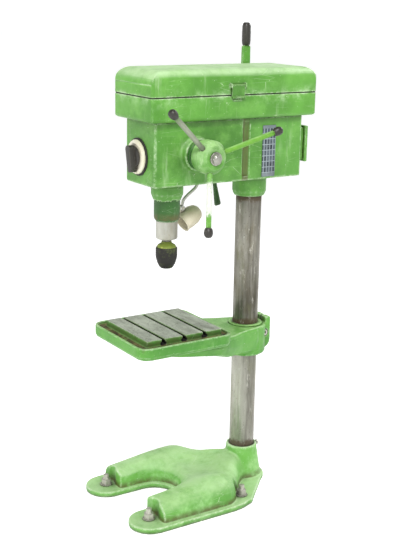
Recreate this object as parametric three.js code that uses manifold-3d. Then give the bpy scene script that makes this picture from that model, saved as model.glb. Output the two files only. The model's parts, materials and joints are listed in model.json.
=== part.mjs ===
// Pillar drilling machine: forked base, round column, T-slotted table with coolant trough, cast head with
// belt drive under a hinged guard. Millimetres, +Z up, floor at z = 0, column axis on the Z axis, the
// operator stands at -Y, the feed capstan is on the +X side.
import * as THREE from 'three';
import { mergeVertices } from 'three/addons/utils/BufferGeometryUtils.js';
import Module from 'manifold-3d';

const wasm = await Module();
wasm.setup();

// ---------------------------------------------------------------- driving dimensions
const GAP = 0.3;                 // clearance between two pieces that touch
const RUN = 0.5;                 // clearance round a piece that slides or turns in another
const WALL = 7;                  // wall of the large castings

const COLUMN_R = 35;
const COLUMN_WALL = 5;
const COLUMN_FOOT = 14;          // height of the blind socket floor in the base
const COLUMN_TOP = 935;

const BASE_FLANGE = 16;          // thickness of the flange that rests on the floor
const BASE_COLLAR_TOP = 108;
const BASE_COLLAR_WALL = 9;
const FOOT_X = 122;              // centre of each front foot
const FOOT_Y = -375;
const FOOT_R = 58;
const NOTCH_END_Y = -290;        // centre of the round end of the fork
const SIDE_X = 180;              // straight outer side of the flange
const LOBE_X = 135;              // rear bolt lobes
const LOBE_Y = -90;
const LOBE_R = 32;
const TAIL_WALL = 31;            // flange width round the column at the back
const CREST_X = 110;             // crest line of each leg
const LEG_TOP = 69;               // greatest height of a leg above the flange
const LEG_FRONT_H = 40;           // height of a leg behind the front bolt
const LEG_PEAK_Y = -165;          // where a leg is highest
const LEG_DIP = 15;               // fall of the crest beside the rear bolts
const LEG_X = 167;                // outer foot of the leg flank
const FLANK = 54;                 // width of the rounded flank
const WAIST_H = 50;               // height of the body between the legs, above the flange
const NECK_H = 72;                // height of the body at the column
const FORK_LEDGE = 8;             // flange left standing proud of the fork wall
const FORK_ROUND = 26;            // rounding along the top of the fork wall
const FRONT_BOLT_X = 119;
const FRONT_BOLT_Y = -378;
const REAR_BOLT_X = 130;
const REAR_BOLT_Y = -88;
const BOLT_R = 8;
const BOLT_AF = 24;              // across flats of the foundation bolt heads

const THROAT = 260;              // column axis to spindle axis
const TABLE_TOP = 503.5;
const PLATE_X = 109;             // half width of the machined plate
const PLATE_FRONT = 121;         // plate reach in front of the spindle axis
const PLATE_BACK = 108;
const TROUGH = 21;               // trough width beside the plate
const TRAY_WALL = 8;
const RIM_DROP = 10.5;             // tray rim below the machined plate
const TROUGH_DEPTH = 7;
const TRAY_H = 35;
const TRAY_CORNER = 34;
const SLOT_PITCH = 62.5;
const SLOT_NECK = 8;
const SLOT_HEAD = 17;
const SLOT_DEPTH = 8;
const TABLE_COLLAR_H = 81;
const TABLE_COLLAR_RISE = 8;       // collar top above the underside of the tray
const TABLE_COLLAR_WALL = 18;
const LINER_WALL = 3.7;
const EAR_X = 27;
const EAR_SPLIT = 9;
const EAR_DEPTH = 35;            // ears reach this far behind the column surface
const CLAMP_BOLT_R = 6;
const CLAMP_DROP = 29;             // clamp bolt below the collar top

const HEAD_BELOW_TOP = 50;       // the head body starts this far below the column top
const HEAD_H = 164;
const HEAD_X = 73;
const HEAD_NOSE = 81;            // head body in front of the spindle axis
const HEAD_BACK = 117;
const HEAD_EDGE = 6;
const COLLAR_DROP = 53;          // column collar below the head body
const COLLAR_WALL = 11;
const GROOVE_FRONT = -77;        // vertical relief on the right face
const GROOVE_BACK = -55;
const GROOVE_DEPTH = 4;
const REAR_STEP_Y = 66;
const REAR_STEP = 1.5;

const QUILL_R = 28.5;
const QUILL_DROP = 147;            // quill end below the head body at rest
const QUILL_LENGTH = 298;
const QUILL_TRAVEL = 60;
const GUIDE_WALL = 5.2;
const GUIDE_DROP = 100;          // nose sleeve below the head body
const BOSS_WALL = 8;
const BOSS_DROP = 35;
const BOSS_RISE = 29;            // boss above the head body, through the guard
const SHAFT_R = 12;
const BEARING_WALL = 8.5;
const CHUCK_R = 28.5;
const CHUCK_GAP = 8;               // chuck below the quill end
const CHUCK_L = 71;
const JAW_R = 4;

const GEAR_MODULE = 2;
const GEAR_TEETH = 14;
const RACK_DEPTH = 3.5;          // pitch line of the rack below the quill surface
const PINION_RISE = 81;          // pinion axis above the underside of the head body
const PINION_HALF = 18;
const FEED_SHAFT_R = 12;
const FEED_BOSS_R = 42;
const FEED_BOSS_L = 19;
const RING_L = 23;
const RING_R = 38;
const HUB_R = 43;
const HUB_L = 49;
const SPOKE_R = 7;
const SPOKE_REACH = 182;         // knob centre to feed axis
const SPOKE_LEAN = 48;           // knob centre stands outward of the hub centre
const SPOKE_START_DEG = 19.8;
const KNOB_R = 12;

const GUARD_X = 94;
const GUARD_NOSE = 103;          // guard in front of the spindle axis
const GUARD_BACK = 143;
const PAN_H = 60;
const LID_H = 64.5;
const SHEET = 3;                 // wall of the guard
const SEAL_H = 2.6;
const HINGE_R = 5;
const LATCH_Y = -112;
const LATCH_W = 40;

const MOTOR_R = 50;
const MOTOR_H = 86;
const MOTOR_CLEAR = 12;
const MOTOR_SLIDE = 14;
const PLATE_T = 8;
const PULLEY_PITCH_R = 44;       // middle step
const PULLEY_STEP = 10;
const PULLEY_RISE = 20;          // height of one step
const SLEEVE_R = 17;

const LEVER_RISE = 125;            // lever pivot above the underside of the head body
const LEVER_Y = 53;
const LID_SWING = 2;               // between the swinging lid and the lever grip
const LEVER_W = 24;
const LEVER_OVER = 45;             // lever end above the lid
const GRIP_R = 12;
const GRIP_L = 61;

const LAMP_X = -40;
const LAMP_Y = -140;

const CHART_Y = -14;              // tin speed chart on the right face
const CHART_W = 42;
const CHART_H = 135;
const CHART_T = 1.4;

const SWITCH_X = -8;
const SWITCH_RISE = 71;
const SWITCH_R = 44;
const BOX_X = 60;
const BOX_Z = 35;                // rear cover starts this far above the head underside
const BOX_H = 97;

// Sides of a full circle, from the largest round pieces to the smallest pins.
const FINE = 22;
const SEG = 18;
const MID = 14;
const SMALL = 12;
const TINY = 10;
const PIN = 8;

// ---------------------------------------------------------------- derived places
const SPINDLE_Y = -THROAT;
const HEAD_Z = COLUMN_TOP - HEAD_BELOW_TOP;
const HEAD_TOP = HEAD_Z + HEAD_H;
const HEAD_FRONT = SPINDLE_Y - HEAD_NOSE;
const GUIDE_R = QUILL_R + RUN + GUIDE_WALL;
const BOSS_R = GUIDE_R + GAP + BOSS_WALL;
const QUILL_BOTTOM = HEAD_Z - QUILL_DROP;
const QUILL_TOP = QUILL_BOTTOM + QUILL_LENGTH;
const CHUCK_TOP = QUILL_BOTTOM - CHUCK_GAP;
const CHUCK_TIP = CHUCK_TOP - CHUCK_L;
const GUIDE_TOP = QUILL_TOP + 4;
const PITCH_R = GEAR_MODULE * GEAR_TEETH / 2;
const TIP_R = PITCH_R + GEAR_MODULE;
const ROOT_R = PITCH_R - 1.25 * GEAR_MODULE;
const PINION_Y = SPINDLE_Y + QUILL_R - RACK_DEPTH + PITCH_R;
const PINION_Z = HEAD_Z + PINION_RISE;
const GUARD_FRONT = SPINDLE_Y - GUARD_NOSE;
const PAN_Z = HEAD_TOP + GAP;
const PAN_TOP = PAN_Z + PAN_H;
const LID_Z = PAN_TOP + SEAL_H + 2 * GAP;
const LID_TOP = LID_Z + LID_H;
const LEVER_Z = HEAD_Z + LEVER_RISE;
const LEVER_TOP = LID_TOP + LEVER_OVER;
const LEVER_PLANE = GUARD_X + LID_SWING + GRIP_R;
const HINGE_Y = GUARD_BACK + HINGE_R;
const HINGE_Z = (PAN_TOP + LID_Z) / 2;
const MOTOR_Y = HEAD_BACK - WALL - MOTOR_CLEAR - MOTOR_R;
const MOTOR_PLATE_Z = HEAD_TOP - 4 - PLATE_T;
const BOSS_TOP = HEAD_TOP + BOSS_RISE;
const PULLEY_Z = BOSS_TOP + 10;
const BELT_Z = PULLEY_Z + 1.5 * PULLEY_RISE;
const LINER_R = COLUMN_R + RUN + LINER_WALL;
const LINER_FLANGE_R = LINER_R + 8;
const TABLE_COLLAR_R = LINER_R + RUN + TABLE_COLLAR_WALL;
const TRAY_TOP = TABLE_TOP - RIM_DROP;
const TRAY_FLOOR = TRAY_TOP - TROUGH_DEPTH;
const TRAY_BOTTOM = TRAY_TOP - TRAY_H;
const TABLE_COLLAR_TOP = TRAY_BOTTOM + TABLE_COLLAR_RISE;
const TABLE_COLLAR_BOTTOM = TABLE_COLLAR_TOP - TABLE_COLLAR_H;
const CLAMP_Z = TABLE_COLLAR_TOP - CLAMP_DROP;
const CLAMP_Y = COLUMN_R + CLAMP_BOLT_R + 10;

// ---------------------------------------------------------------- solid helpers
const V2 = (x, y) => new THREE.Vector2(x, y);

// A closed geometry becomes a solid with its faces pointing outward.
function solid(geometry) {
  geometry.deleteAttribute('normal');
  geometry.deleteAttribute('uv');
  const welded = mergeVertices(geometry, 1e-4);
  const p = welded.attributes.position.array;
  const corners = welded.index.array;
  const kept = [];
  let volume = 0;
  for (let i = 0; i < corners.length; i += 3) {
    const [a, b, c] = [corners[i], corners[i + 1], corners[i + 2]];
    if (a === b || b === c || c === a) continue;
    kept.push(a, b, c);
    const [x, y, z] = [a, b, c].map((k) => new THREE.Vector3(p[3 * k], p[3 * k + 1], p[3 * k + 2]));
    volume += x.dot(y.cross(z));
  }
  if (volume < 0) {
    for (let i = 0; i < kept.length; i += 3) [kept[i + 1], kept[i + 2]] = [kept[i + 2], kept[i + 1]];
  }
  const mesh = new wasm.Mesh({ numProp: 3, vertProperties: new Float32Array(p),
    triVerts: new Uint32Array(kept) });
  return new wasm.Manifold(mesh);
}

const join = (...bodies) => bodies.reduce((all, one) => all.add(one));
const cut = (body, ...tools) => tools.reduce((all, one) => all.subtract(one), body);

// Box between two corners.
function box(x0, x1, y0, y1, z0, z1) {
  const geometry = new THREE.BoxGeometry(x1 - x0, y1 - y0, z1 - z0);
  geometry.translate((x0 + x1) / 2, (y0 + y1) / 2, (z0 + z1) / 2);
  return solid(geometry);
}

// Turned piece: a closed outline of [radius, height] points spun round +Z.
function turned(outline, sides = SEG) {
  const points = outline.map(([r, z]) => V2(r, z));
  if (outline[0][0] > 0) points.push(points[0].clone());
  const geometry = new THREE.LatheGeometry(points, sides);
  geometry.rotateX(Math.PI / 2);
  return solid(geometry);
}

const rod = (r, z0, z1, sides = SEG) => turned([[0, z0], [r, z0], [r, z1], [0, z1]], sides);
const tube = (r, bore, z0, z1, sides = SEG) => turned([[bore, z0], [r, z0], [r, z1], [bore, z1]], sides);
const alongX = (body) => body.rotate([0, 90, 0]);          // +Z goes to +X
const alongY = (body) => body.rotate([-90, 0, 0]);         // +Z goes to +Y

// Flat outline (x, y) given a thickness from z0 to z1.
function slab(shape, z0, z1, curve = 5) {
  const geometry = new THREE.ExtrudeGeometry(shape, { depth: z1 - z0, bevelEnabled: false,
    curveSegments: curve });
  geometry.translate(0, 0, z0);
  return solid(geometry);
}

// Outline in the Y-Z plane given a width from x0 to x1.
function slabX(shape, x0, x1, curve = 5) {
  const geometry = new THREE.ExtrudeGeometry(shape, { depth: x1 - x0, bevelEnabled: false,
    curveSegments: curve });
  geometry.applyMatrix4(new THREE.Matrix4().makeBasis(
    new THREE.Vector3(0, 1, 0), new THREE.Vector3(0, 0, 1), new THREE.Vector3(1, 0, 0)));
  geometry.translate(x0, 0, 0);
  return solid(geometry);
}

// Outline in the X-Z plane given a depth from y0 to y1.
function slabY(shape, y0, y1, curve = 5) {
  const geometry = new THREE.ExtrudeGeometry(shape, { depth: y1 - y0, bevelEnabled: false,
    curveSegments: curve });
  geometry.applyMatrix4(new THREE.Matrix4().makeBasis(
    new THREE.Vector3(1, 0, 0), new THREE.Vector3(0, 0, 1), new THREE.Vector3(0, -1, 0)));
  geometry.translate(0, y1, 0);
  return solid(geometry);
}

// Rectangle with its own radius at the low and the high corners.
function roundRect(x0, x1, y0, y1, low, high = low) {
  const s = new THREE.Shape();
  s.moveTo(x0 + low, y0);
  s.lineTo(x1 - low, y0);
  if (low > 0) s.absarc(x1 - low, y0 + low, low, -Math.PI / 2, 0, false);
  s.lineTo(x1, y1 - high);
  if (high > 0) s.absarc(x1 - high, y1 - high, high, 0, Math.PI / 2, false);
  s.lineTo(x0 + high, y1);
  if (high > 0) s.absarc(x0 + high, y1 - high, high, Math.PI / 2, Math.PI, false);
  s.lineTo(x0, y0 + low);
  if (low > 0) s.absarc(x0 + low, y0 + low, low, Math.PI, 1.5 * Math.PI, false);
  return s;
}

// Box whose long edges are rolled over, met in mitres at the upright corners.
function softBox(x, y0, y1, z0, z1, corner, low, high, ends = high, curve = 3) {
  const plan = slab(roundRect(-x, x, y0, y1, corner), z0, z1, 2);
  const side = slabX(roundRect(y0, y1, z0, z1, low, ends), -x - 1, x + 1, curve);
  const front = slabY(roundRect(-x, x, z0, z1, low, high), y0 - 1, y1 + 1, curve);
  return plan.intersect(side).intersect(front);
}

// Skin through equal rings of points, closed by a fan at both ends.
function loft(rings) {
  const n = rings[0].length;
  const points = rings.flat();
  const middles = [rings[0], rings[rings.length - 1]].map((ring) => ring
    .reduce((sum, q) => sum.add(q), new THREE.Vector3()).divideScalar(n));
  const index = [];
  for (let i = 0; i + 1 < rings.length; i += 1) {
    for (let j = 0; j < n; j += 1) {
      const [a, b] = [i * n + j, i * n + (j + 1) % n];
      index.push(a, b, b + n, a, b + n, a + n);
    }
  }
  const [first, last, end] = [points.length, points.length + 1, (rings.length - 1) * n];
  for (let j = 0; j < n; j += 1) {
    index.push(first, (j + 1) % n, j);
    index.push(last, end + j, end + (j + 1) % n);
  }
  const geometry = new THREE.BufferGeometry();
  geometry.setFromPoints([...points, ...middles]);
  geometry.setIndex(index);
  return solid(geometry);
}

// Closed section carried round a closed path; section(i) gives the ring at step i.
function hoop(steps, section) {
  const rings = Array.from({ length: steps }, (_, i) => section(i));
  const n = rings[0].length;
  const index = [];
  for (let i = 0; i < steps; i += 1) {
    for (let j = 0; j < n; j += 1) {
      const [a, b] = [i * n + j, i * n + (j + 1) % n];
      const [c, d] = [((i + 1) % steps) * n + j, ((i + 1) % steps) * n + (j + 1) % n];
      index.push(a, b, d, a, d, c);
    }
  }
  const geometry = new THREE.BufferGeometry();
  geometry.setFromPoints(rings.flat());
  geometry.setIndex(index);
  return solid(geometry);
}

// Round bar bent along a smooth curve through the given points.
function bar(points, r, steps = 16, sides = 4) {
  const path = new THREE.CatmullRomCurve3(points.map((q) => new THREE.Vector3(...q)));
  const ring = new THREE.Shape();
  ring.absarc(0, 0, r, 0, 2 * Math.PI, false);
  return solid(new THREE.ExtrudeGeometry(ring, { steps, extrudePath: path, curveSegments: sides,
    bevelEnabled: false }));
}

// Hexagon prism, across flats af.
const hexagon = (af, z0, z1) => rod(af / Math.sqrt(3), z0, z1, 6);

// ---------------------------------------------------------------- scene graph
const PAINT = { color: 0x4fa63a, roughness: 0.5, metalness: 0.1 };
const STEEL = { color: 0x9a9a96, roughness: 0.35, metalness: 0.9 };
const DARK = { color: 0x2c2a28, roughness: 0.6, metalness: 0.4 };
const RUBBER = { color: 0x1c1c1c, roughness: 0.9, metalness: 0 };
const IVORY = { color: 0xe2dcc8, roughness: 0.45, metalness: 0 };

const machine = new THREE.Group();

function group(parent, x, y, z) {
  const inner = new THREE.Group();
  inner.position.set(x, y, z);
  parent.add(inner);
  return inner;
}

// Names a solid and hangs it in its group.
function piece(parent, name, body, look, at = [0, 0, 0]) {
  const mesh = body.getMesh();
  const geometry = new THREE.BufferGeometry();
  geometry.setAttribute('position', new THREE.BufferAttribute(new Float32Array(mesh.vertProperties), 3));
  geometry.setIndex(new THREE.BufferAttribute(new Uint32Array(mesh.triVerts), 1));
  geometry.computeVertexNormals();
  const part = new THREE.Mesh(geometry, new THREE.MeshStandardMaterial(look));
  part.name = name;
  part.position.set(...at);
  parent.add(part);
}

// ---------------------------------------------------------------- base
// Flange outline: two round feet, fork notch, straight sides, rear lobes and a round tail.
function flangeOutline() {
  const tail = COLUMN_R + TAIL_WALL;
  const notch = FOOT_X - FOOT_R;
  const s = new THREE.Shape();
  s.moveTo(notch, NOTCH_END_Y);
  s.lineTo(notch, FOOT_Y);
  s.absarc(FOOT_X, FOOT_Y, FOOT_R, Math.PI, 2 * Math.PI, false);
  s.lineTo(SIDE_X, LOBE_Y - LOBE_R - 20);
  s.quadraticCurveTo(SIDE_X - 2, LOBE_Y - LOBE_R / 2, LOBE_X + LOBE_R, LOBE_Y);
  s.absarc(LOBE_X, LOBE_Y, LOBE_R, 0, 1.05, false);
  s.absarc(0, 0, tail, 0.55, Math.PI - 0.55, false);
  s.absarc(-LOBE_X, LOBE_Y, LOBE_R, Math.PI - 1.05, Math.PI, false);
  s.quadraticCurveTo(-SIDE_X + 2, LOBE_Y - LOBE_R / 2, -SIDE_X, LOBE_Y - LOBE_R - 20);
  s.lineTo(-SIDE_X, FOOT_Y);
  s.absarc(-FOOT_X, FOOT_Y, FOOT_R, Math.PI, 2 * Math.PI, false);
  s.lineTo(-notch, NOTCH_END_Y);
  s.absarc(0, NOTCH_END_Y, notch, Math.PI, 0, true);
  return s;
}

// 0 below a, 1 above b, smooth between.
function ease(a, b, value) {
  const k = Math.min(1, Math.max(0, (value - a) / (b - a)));
  return k * k * (3 - 2 * k);
}

// Round shoulder: 0 at the foot, 1 once `depth` covers `width`.
const shoulder = (depth, width) => Math.sqrt(1 - (1 - Math.min(1, Math.max(0, depth / width))) ** 2);

// Half width of the body at y: straight along the legs, drawn in to the column behind them.
const bodyX = (y) => LEG_X - (LEG_X - COLUMN_R - TAIL_WALL / 2) * ease(LEG_PEAK_Y + 10, -COLUMN_R / 2, y);

// Height of the body above the flange: two crests with a waist between them, rolled over at every side.
function bodyHeight(x, y) {
  const crest = LEG_FRONT_H + (LEG_TOP - LEG_FRONT_H) * ease(2 * FOOT_Y - LEG_PEAK_Y, LEG_PEAK_Y, y) ** 2
    - LEG_DIP * ease(LEG_PEAK_Y, REAR_BOLT_Y, y);
  const middle = WAIST_H + (NECK_H - WAIST_H) * ease(LEG_PEAK_Y, -COLUMN_R, y);
  const top = middle + (crest - middle) * ease(CREST_X / 3, CREST_X, Math.abs(x));
  const fork = Math.hypot(x, Math.max(0, y - NOTCH_END_Y)) - (FOOT_X - FOOT_R + FORK_LEDGE);
  return top * (0.5 + 0.5 * shoulder(fork, FORK_ROUND)) * shoulder(bodyX(y) - Math.abs(x), FLANK) ** 0.8;
}

// Body of the base between y0 and the column, drawn in by `inset` on every side for the hollow.
function baseBody(inset, across, along) {
  const y0 = FOOT_Y + 17 + 1.5 * inset;
  const low = inset > 0 ? -1 : BASE_FLANGE - 4;
  const rings = Array.from({ length: along + 1 }, (_, i) => {
    const y = y0 + (5 - inset - y0) * i / along;
    const half = bodyX(y) - inset;
    const ring = Array.from({ length: across + 1 }, (__, j) => {
      const x = -half * Math.cos(Math.PI * j / across);
      return new THREE.Vector3(x, y, Math.max(low + 1, BASE_FLANGE + bodyHeight(x, y) - 1.3 * inset));
    });
    return [...ring, new THREE.Vector3(half, y, low), new THREE.Vector3(-half, y, low)];
  });
  return loft(rings);
}

// Room of the fork, `ledge` wider than the notch in the flange.
function forkRoom(ledge, z0, z1) {
  const r = FOOT_X - FOOT_R + ledge;
  return join(rod(r, z0, z1, FINE).translate([0, NOTCH_END_Y, 0]), box(-r, r, FOOT_Y - FOOT_R,
    NOTCH_END_Y, z0, z1));
}

function baseCasting() {
  const collar = COLUMN_R + GAP + BASE_COLLAR_WALL;
  const skirt = turned([[0, 0], [collar + 16, 0], [collar + 16, BASE_FLANGE],
    [collar + 11, BASE_FLANGE + 12],
    [collar + 7, BASE_FLANGE + 34], [collar + 3, BASE_COLLAR_TOP - 30], [collar, BASE_COLLAR_TOP - 16],
    [collar, BASE_COLLAR_TOP - 3], [collar - 3, BASE_COLLAR_TOP], [0, BASE_COLLAR_TOP]], SEG + 6);
  const top = BASE_FLANGE + LEG_TOP + 20;
  const raised = cut(baseBody(0, 26, 22), forkRoom(FORK_LEDGE, BASE_FLANGE, top), forkRoom(0, 0, top));
  const pads = feet().map(([x, y, pocket]) => rod(pocket + 8, -2, top, TINY).translate([x, y, 0]));
  const hollow = cut(baseBody(13, 14, 12), forkRoom(FORK_LEDGE + 13, -2, top), ...pads);
  let body = join(join(slab(flangeOutline(), 0, BASE_FLANGE, 6), raised).subtract(hollow), skirt);
  for (const [x, y, pocket] of feet()) {
    body = cut(body,
      rod(pocket, BASE_FLANGE, BASE_FLANGE + 120, SMALL).translate([x, y, 0]),
      rod(BOLT_R + RUN, -1, BASE_FLANGE + 1, TINY).translate([x, y, 0]));
  }
  const socket = rod(COLUMN_R + GAP, COLUMN_FOOT, BASE_COLLAR_TOP + 1, FINE);
  const screwHole = alongY(rod(5 + GAP, COLUMN_R, COLUMN_R + 60, PIN)).translate(
    [0, 0, BASE_COLLAR_TOP - 14]);
  return cut(body, socket, screwHole);
}

// Foundation bolt places: x, y and the radius of the pocket cut round the head.
function feet() {
  return [[FRONT_BOLT_X, FRONT_BOLT_Y, 27], [-FRONT_BOLT_X, FRONT_BOLT_Y, 27],
    [REAR_BOLT_X, REAR_BOLT_Y, 25], [-REAR_BOLT_X, REAR_BOLT_Y, 25]];
}

// Foundation bolt cut off level with the floor, with washer, nut and the worn thread end above it.
function footBolt() {
  return join(rod(BOLT_R, GAP, BASE_FLANGE + 30, PIN), rod(BOLT_R + 9, BASE_FLANGE + GAP,
    BASE_FLANGE + 3.3, TINY),
    hexagon(BOLT_AF, BASE_FLANGE + 3, BASE_FLANGE + 17),
    turned([[0, BASE_FLANGE + 17], [10, BASE_FLANGE + 17], [9, BASE_FLANGE + 19], [0, BASE_FLANGE + 19]],
      TINY));
}

function base(root) {
  piece(root, 'base_casting', baseCasting(), PAINT);
  feet().forEach(([x, y], i) => piece(root, `base_bolt_${i + 1}`, footBolt(), STEEL, [x, y, 0]));
  piece(root, 'column_tube', tube(COLUMN_R, COLUMN_R - COLUMN_WALL, COLUMN_FOOT + GAP, COLUMN_TOP, FINE),
    STEEL);
  const screw = alongY(join(rod(5, 0, 18, PIN), hexagon(14, 14, 22)));
  const seat = COLUMN_R + GAP + BASE_COLLAR_WALL - 14 + GAP;
  piece(root, 'base_socket_screw', screw, DARK, [0, seat + 5, BASE_COLLAR_TOP - 14]);
}

// ---------------------------------------------------------------- table
const TABLE_FRONT = SPINDLE_Y - PLATE_FRONT;
const TABLE_REAR = SPINDLE_Y + PLATE_BACK;
const TRAY_X = PLATE_X + TROUGH + TRAY_WALL;
const TRAY_FRONT = TABLE_FRONT - TROUGH - TRAY_WALL - 2;
const TRAY_REAR = TABLE_REAR + TROUGH / 2 + TRAY_WALL + 5;

// Arm that carries the tray: wide and shallow at the tray, narrow and deep at the collar.
function tableArm() {
  const stations = [
    [TRAY_FRONT + 30, 84, TRAY_BOTTOM - 5, TRAY_BOTTOM + 10],
    [(TRAY_FRONT + TRAY_REAR) / 2, 108, TRAY_BOTTOM - 25, TRAY_BOTTOM + 12],
    [TRAY_REAR - 20, 114, TRAY_BOTTOM - 44, TRAY_BOTTOM + 16],
    [TRAY_REAR + 30, 96, TRAY_BOTTOM - 59, TABLE_COLLAR_TOP + 4],
    [-TABLE_COLLAR_R, 78, TABLE_COLLAR_BOTTOM + 10, TABLE_COLLAR_TOP + 4],
    [0, TABLE_COLLAR_R + 4, TABLE_COLLAR_BOTTOM + 2, TABLE_COLLAR_TOP + 2],
    [TABLE_COLLAR_R - 16, TABLE_COLLAR_R - 22, TABLE_COLLAR_BOTTOM + 2, TABLE_COLLAR_TOP],
  ];
  const rings = stations.map(([y, half, low, high]) => {
    const mid = low + (high - low) * 0.55;
    const outline = [[-0.62, low], [-0.9, low + (mid - low) * 0.35], [-1, mid], [-1, high - 7],
      [-0.95, high], [0.95, high], [1, high - 7], [1, mid], [0.9, low + (mid - low) * 0.35], [0.62, low]];
    return outline.map(([x, z]) => new THREE.Vector3(x * half, y, z));
  });
  return loft(rings);
}

// Tray body: full outline at the rim, drawn in towards the underside.
function tray() {
  const rim = slab(roundRect(-TRAY_X, TRAY_X, TRAY_FRONT, TRAY_REAR, TRAY_CORNER), TRAY_BOTTOM + 9,
    TRAY_TOP, 6);
  const mid = slab(roundRect(3 - TRAY_X, TRAY_X - 3, TRAY_FRONT + 3, TRAY_REAR - 3, TRAY_CORNER - 3),
    TRAY_BOTTOM + 3.5, TRAY_BOTTOM + 9, 6);
  const low = slab(roundRect(9 - TRAY_X, TRAY_X - 9, TRAY_FRONT + 9, TRAY_REAR - 9, TRAY_CORNER - 8),
    TRAY_BOTTOM, TRAY_BOTTOM + 3.5, 6);
  return join(rim, mid, low);
}

// Room of the trough: everything inside the rim above the trough floor.
function trough() {
  const inner = roundRect(TRAY_WALL - TRAY_X, TRAY_X - TRAY_WALL, TRAY_FRONT + TRAY_WALL,
    TRAY_REAR - TRAY_WALL,
    TRAY_CORNER - TRAY_WALL);
  return slab(inner, TRAY_FLOOR, TRAY_TOP + 1, 6);
}

function slotYs() {
  return [-1, 0, 1].map((i) => (TABLE_FRONT + TABLE_REAR) / 2 - 3 + i * SLOT_PITCH);
}

function tableCasting() {
  const ears = slabX(earOutline(), -EAR_X, EAR_X, 4);
  const collar = turned([[0, TABLE_COLLAR_BOTTOM], [TABLE_COLLAR_R - 4, TABLE_COLLAR_BOTTOM],
    [TABLE_COLLAR_R, TABLE_COLLAR_BOTTOM + 5], [TABLE_COLLAR_R, TABLE_COLLAR_TOP - 4],
    [TABLE_COLLAR_R - 4, TABLE_COLLAR_TOP], [0, TABLE_COLLAR_TOP]]);
  const plate = box(-PLATE_X, PLATE_X, TABLE_FRONT, TABLE_REAR, TRAY_FLOOR - 2, TABLE_TOP);
  let body = join(tray().subtract(trough()), plate, tableArm().subtract(trough()), collar, ears);
  for (const y of slotYs()) {
    body = cut(body,
      box(-TRAY_X, TRAY_X, y - SLOT_NECK / 2, y + SLOT_NECK / 2, TABLE_TOP - SLOT_DEPTH - 1, TABLE_TOP + 1),
      box(-PLATE_X - 1, PLATE_X + 1, y - SLOT_HEAD / 2, y + SLOT_HEAD / 2, TABLE_TOP - 2 * SLOT_DEPTH,
        TABLE_TOP - SLOT_DEPTH));
  }
  for (const side of [-1, 1]) {
    const near = Math.min(side * 8, side * (PLATE_X - 20));
    const far = Math.max(side * 8, side * (PLATE_X - 20));
    body = cut(body, box(near, far, TABLE_FRONT + 12, SPINDLE_Y - 6, TRAY_BOTTOM - 30, TRAY_FLOOR - 10),
      box(near, far, SPINDLE_Y + 6, TABLE_REAR - 30, TRAY_BOTTOM - 60, TRAY_FLOOR - 10));
  }
  const split = box(-EAR_SPLIT / 2, EAR_SPLIT / 2, LINER_R - 6, COLUMN_R + EAR_DEPTH + 1,
    TABLE_COLLAR_BOTTOM - 1, TRAY_TOP);
  const bore = join(rod(LINER_R + RUN, TABLE_COLLAR_BOTTOM - 1, TRAY_TOP, FINE),
    rod(LINER_FLANGE_R + RUN, TABLE_COLLAR_TOP, TRAY_TOP + 8, FINE));
  const boltHole = alongX(rod(CLAMP_BOLT_R + RUN, -EAR_X - 1, EAR_X + 1, PIN)).translate(
    [0, CLAMP_Y, CLAMP_Z]);
  const counterbore = alongX(rod(11, EAR_X - 6, TABLE_COLLAR_R, SMALL)).translate([0, CLAMP_Y, CLAMP_Z]);
  const spotFace = alongX(rod(14, -TABLE_COLLAR_R, -EAR_X, SMALL)).translate([0, CLAMP_Y, CLAMP_Z]);
  return cut(body, bore, split, boltHole, counterbore, spotFace);
}

// Clamp ears seen from the side: square on top, rounded off below.
function earOutline() {
  const back = COLUMN_R + EAR_DEPTH;
  const s = new THREE.Shape();
  s.moveTo(COLUMN_R, TABLE_COLLAR_BOTTOM + 4);
  s.lineTo(back - 24, TABLE_COLLAR_BOTTOM + 6);
  s.quadraticCurveTo(back, TABLE_COLLAR_BOTTOM + 10, back, TABLE_COLLAR_BOTTOM + 34);
  s.lineTo(back, TABLE_COLLAR_TOP + 11);
  s.absarc(back - 6, TABLE_COLLAR_TOP + 11, 6, 0, Math.PI / 2, false);
  s.lineTo(LINER_R + 13, TABLE_COLLAR_TOP + 17);
  s.lineTo(LINER_R + 11, TABLE_COLLAR_TOP - 2);
  s.lineTo(COLUMN_R, TABLE_COLLAR_TOP - 2);
  return s;
}

// Captive bolt: round head sunk in the right ear, threaded end into the lever boss at the left.
function tableClampBolt() {
  return alongX(join(rod(CLAMP_BOLT_R, -EAR_X - 22, EAR_X - 4, PIN),
    cut(rod(9.5, EAR_X - 6 + GAP, EAR_X - 0.6, TINY), hexagon(8, EAR_X - 4, EAR_X))));
}

// Ball-ended ratchet lever for the far side of the table clamp.
function clampLever(length) {
  const boss = alongX(cut(rod(12, -20, 0, TINY), rod(CLAMP_BOLT_R + RUN, -21, 1, TINY)));
  const arm = bar([[-11, 8, -1], [-15, length * 0.5, -4], [-24, length, -6]], 5, 4, 4);
  const ball = solid(new THREE.SphereGeometry(9, 10, 7)).translate([-24, length + 4, -6]);
  return join(boss, arm, ball);
}

function tableParts(root) {
  const liner = turned([[COLUMN_R + RUN, TABLE_COLLAR_BOTTOM + 2], [LINER_R, TABLE_COLLAR_BOTTOM + 2],
    [LINER_R, TABLE_COLLAR_TOP + GAP], [LINER_FLANGE_R, TABLE_COLLAR_TOP + GAP],
    [LINER_FLANGE_R, TABLE_COLLAR_TOP + 5], [LINER_FLANGE_R - 2, TABLE_COLLAR_TOP + 6.5],
    [COLUMN_R + RUN, TABLE_COLLAR_TOP + 6.5]], FINE);
  piece(root, 'table_liner', liner, PAINT);
  piece(root, 'table_casting', tableCasting(), PAINT);
  piece(root, 'table_clamp_bolt', tableClampBolt(), STEEL, [0, CLAMP_Y, CLAMP_Z]);
  piece(root, 'table_clamp_lever', clampLever(58), DARK, [-EAR_X - GAP, CLAMP_Y, CLAMP_Z]);
}

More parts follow.
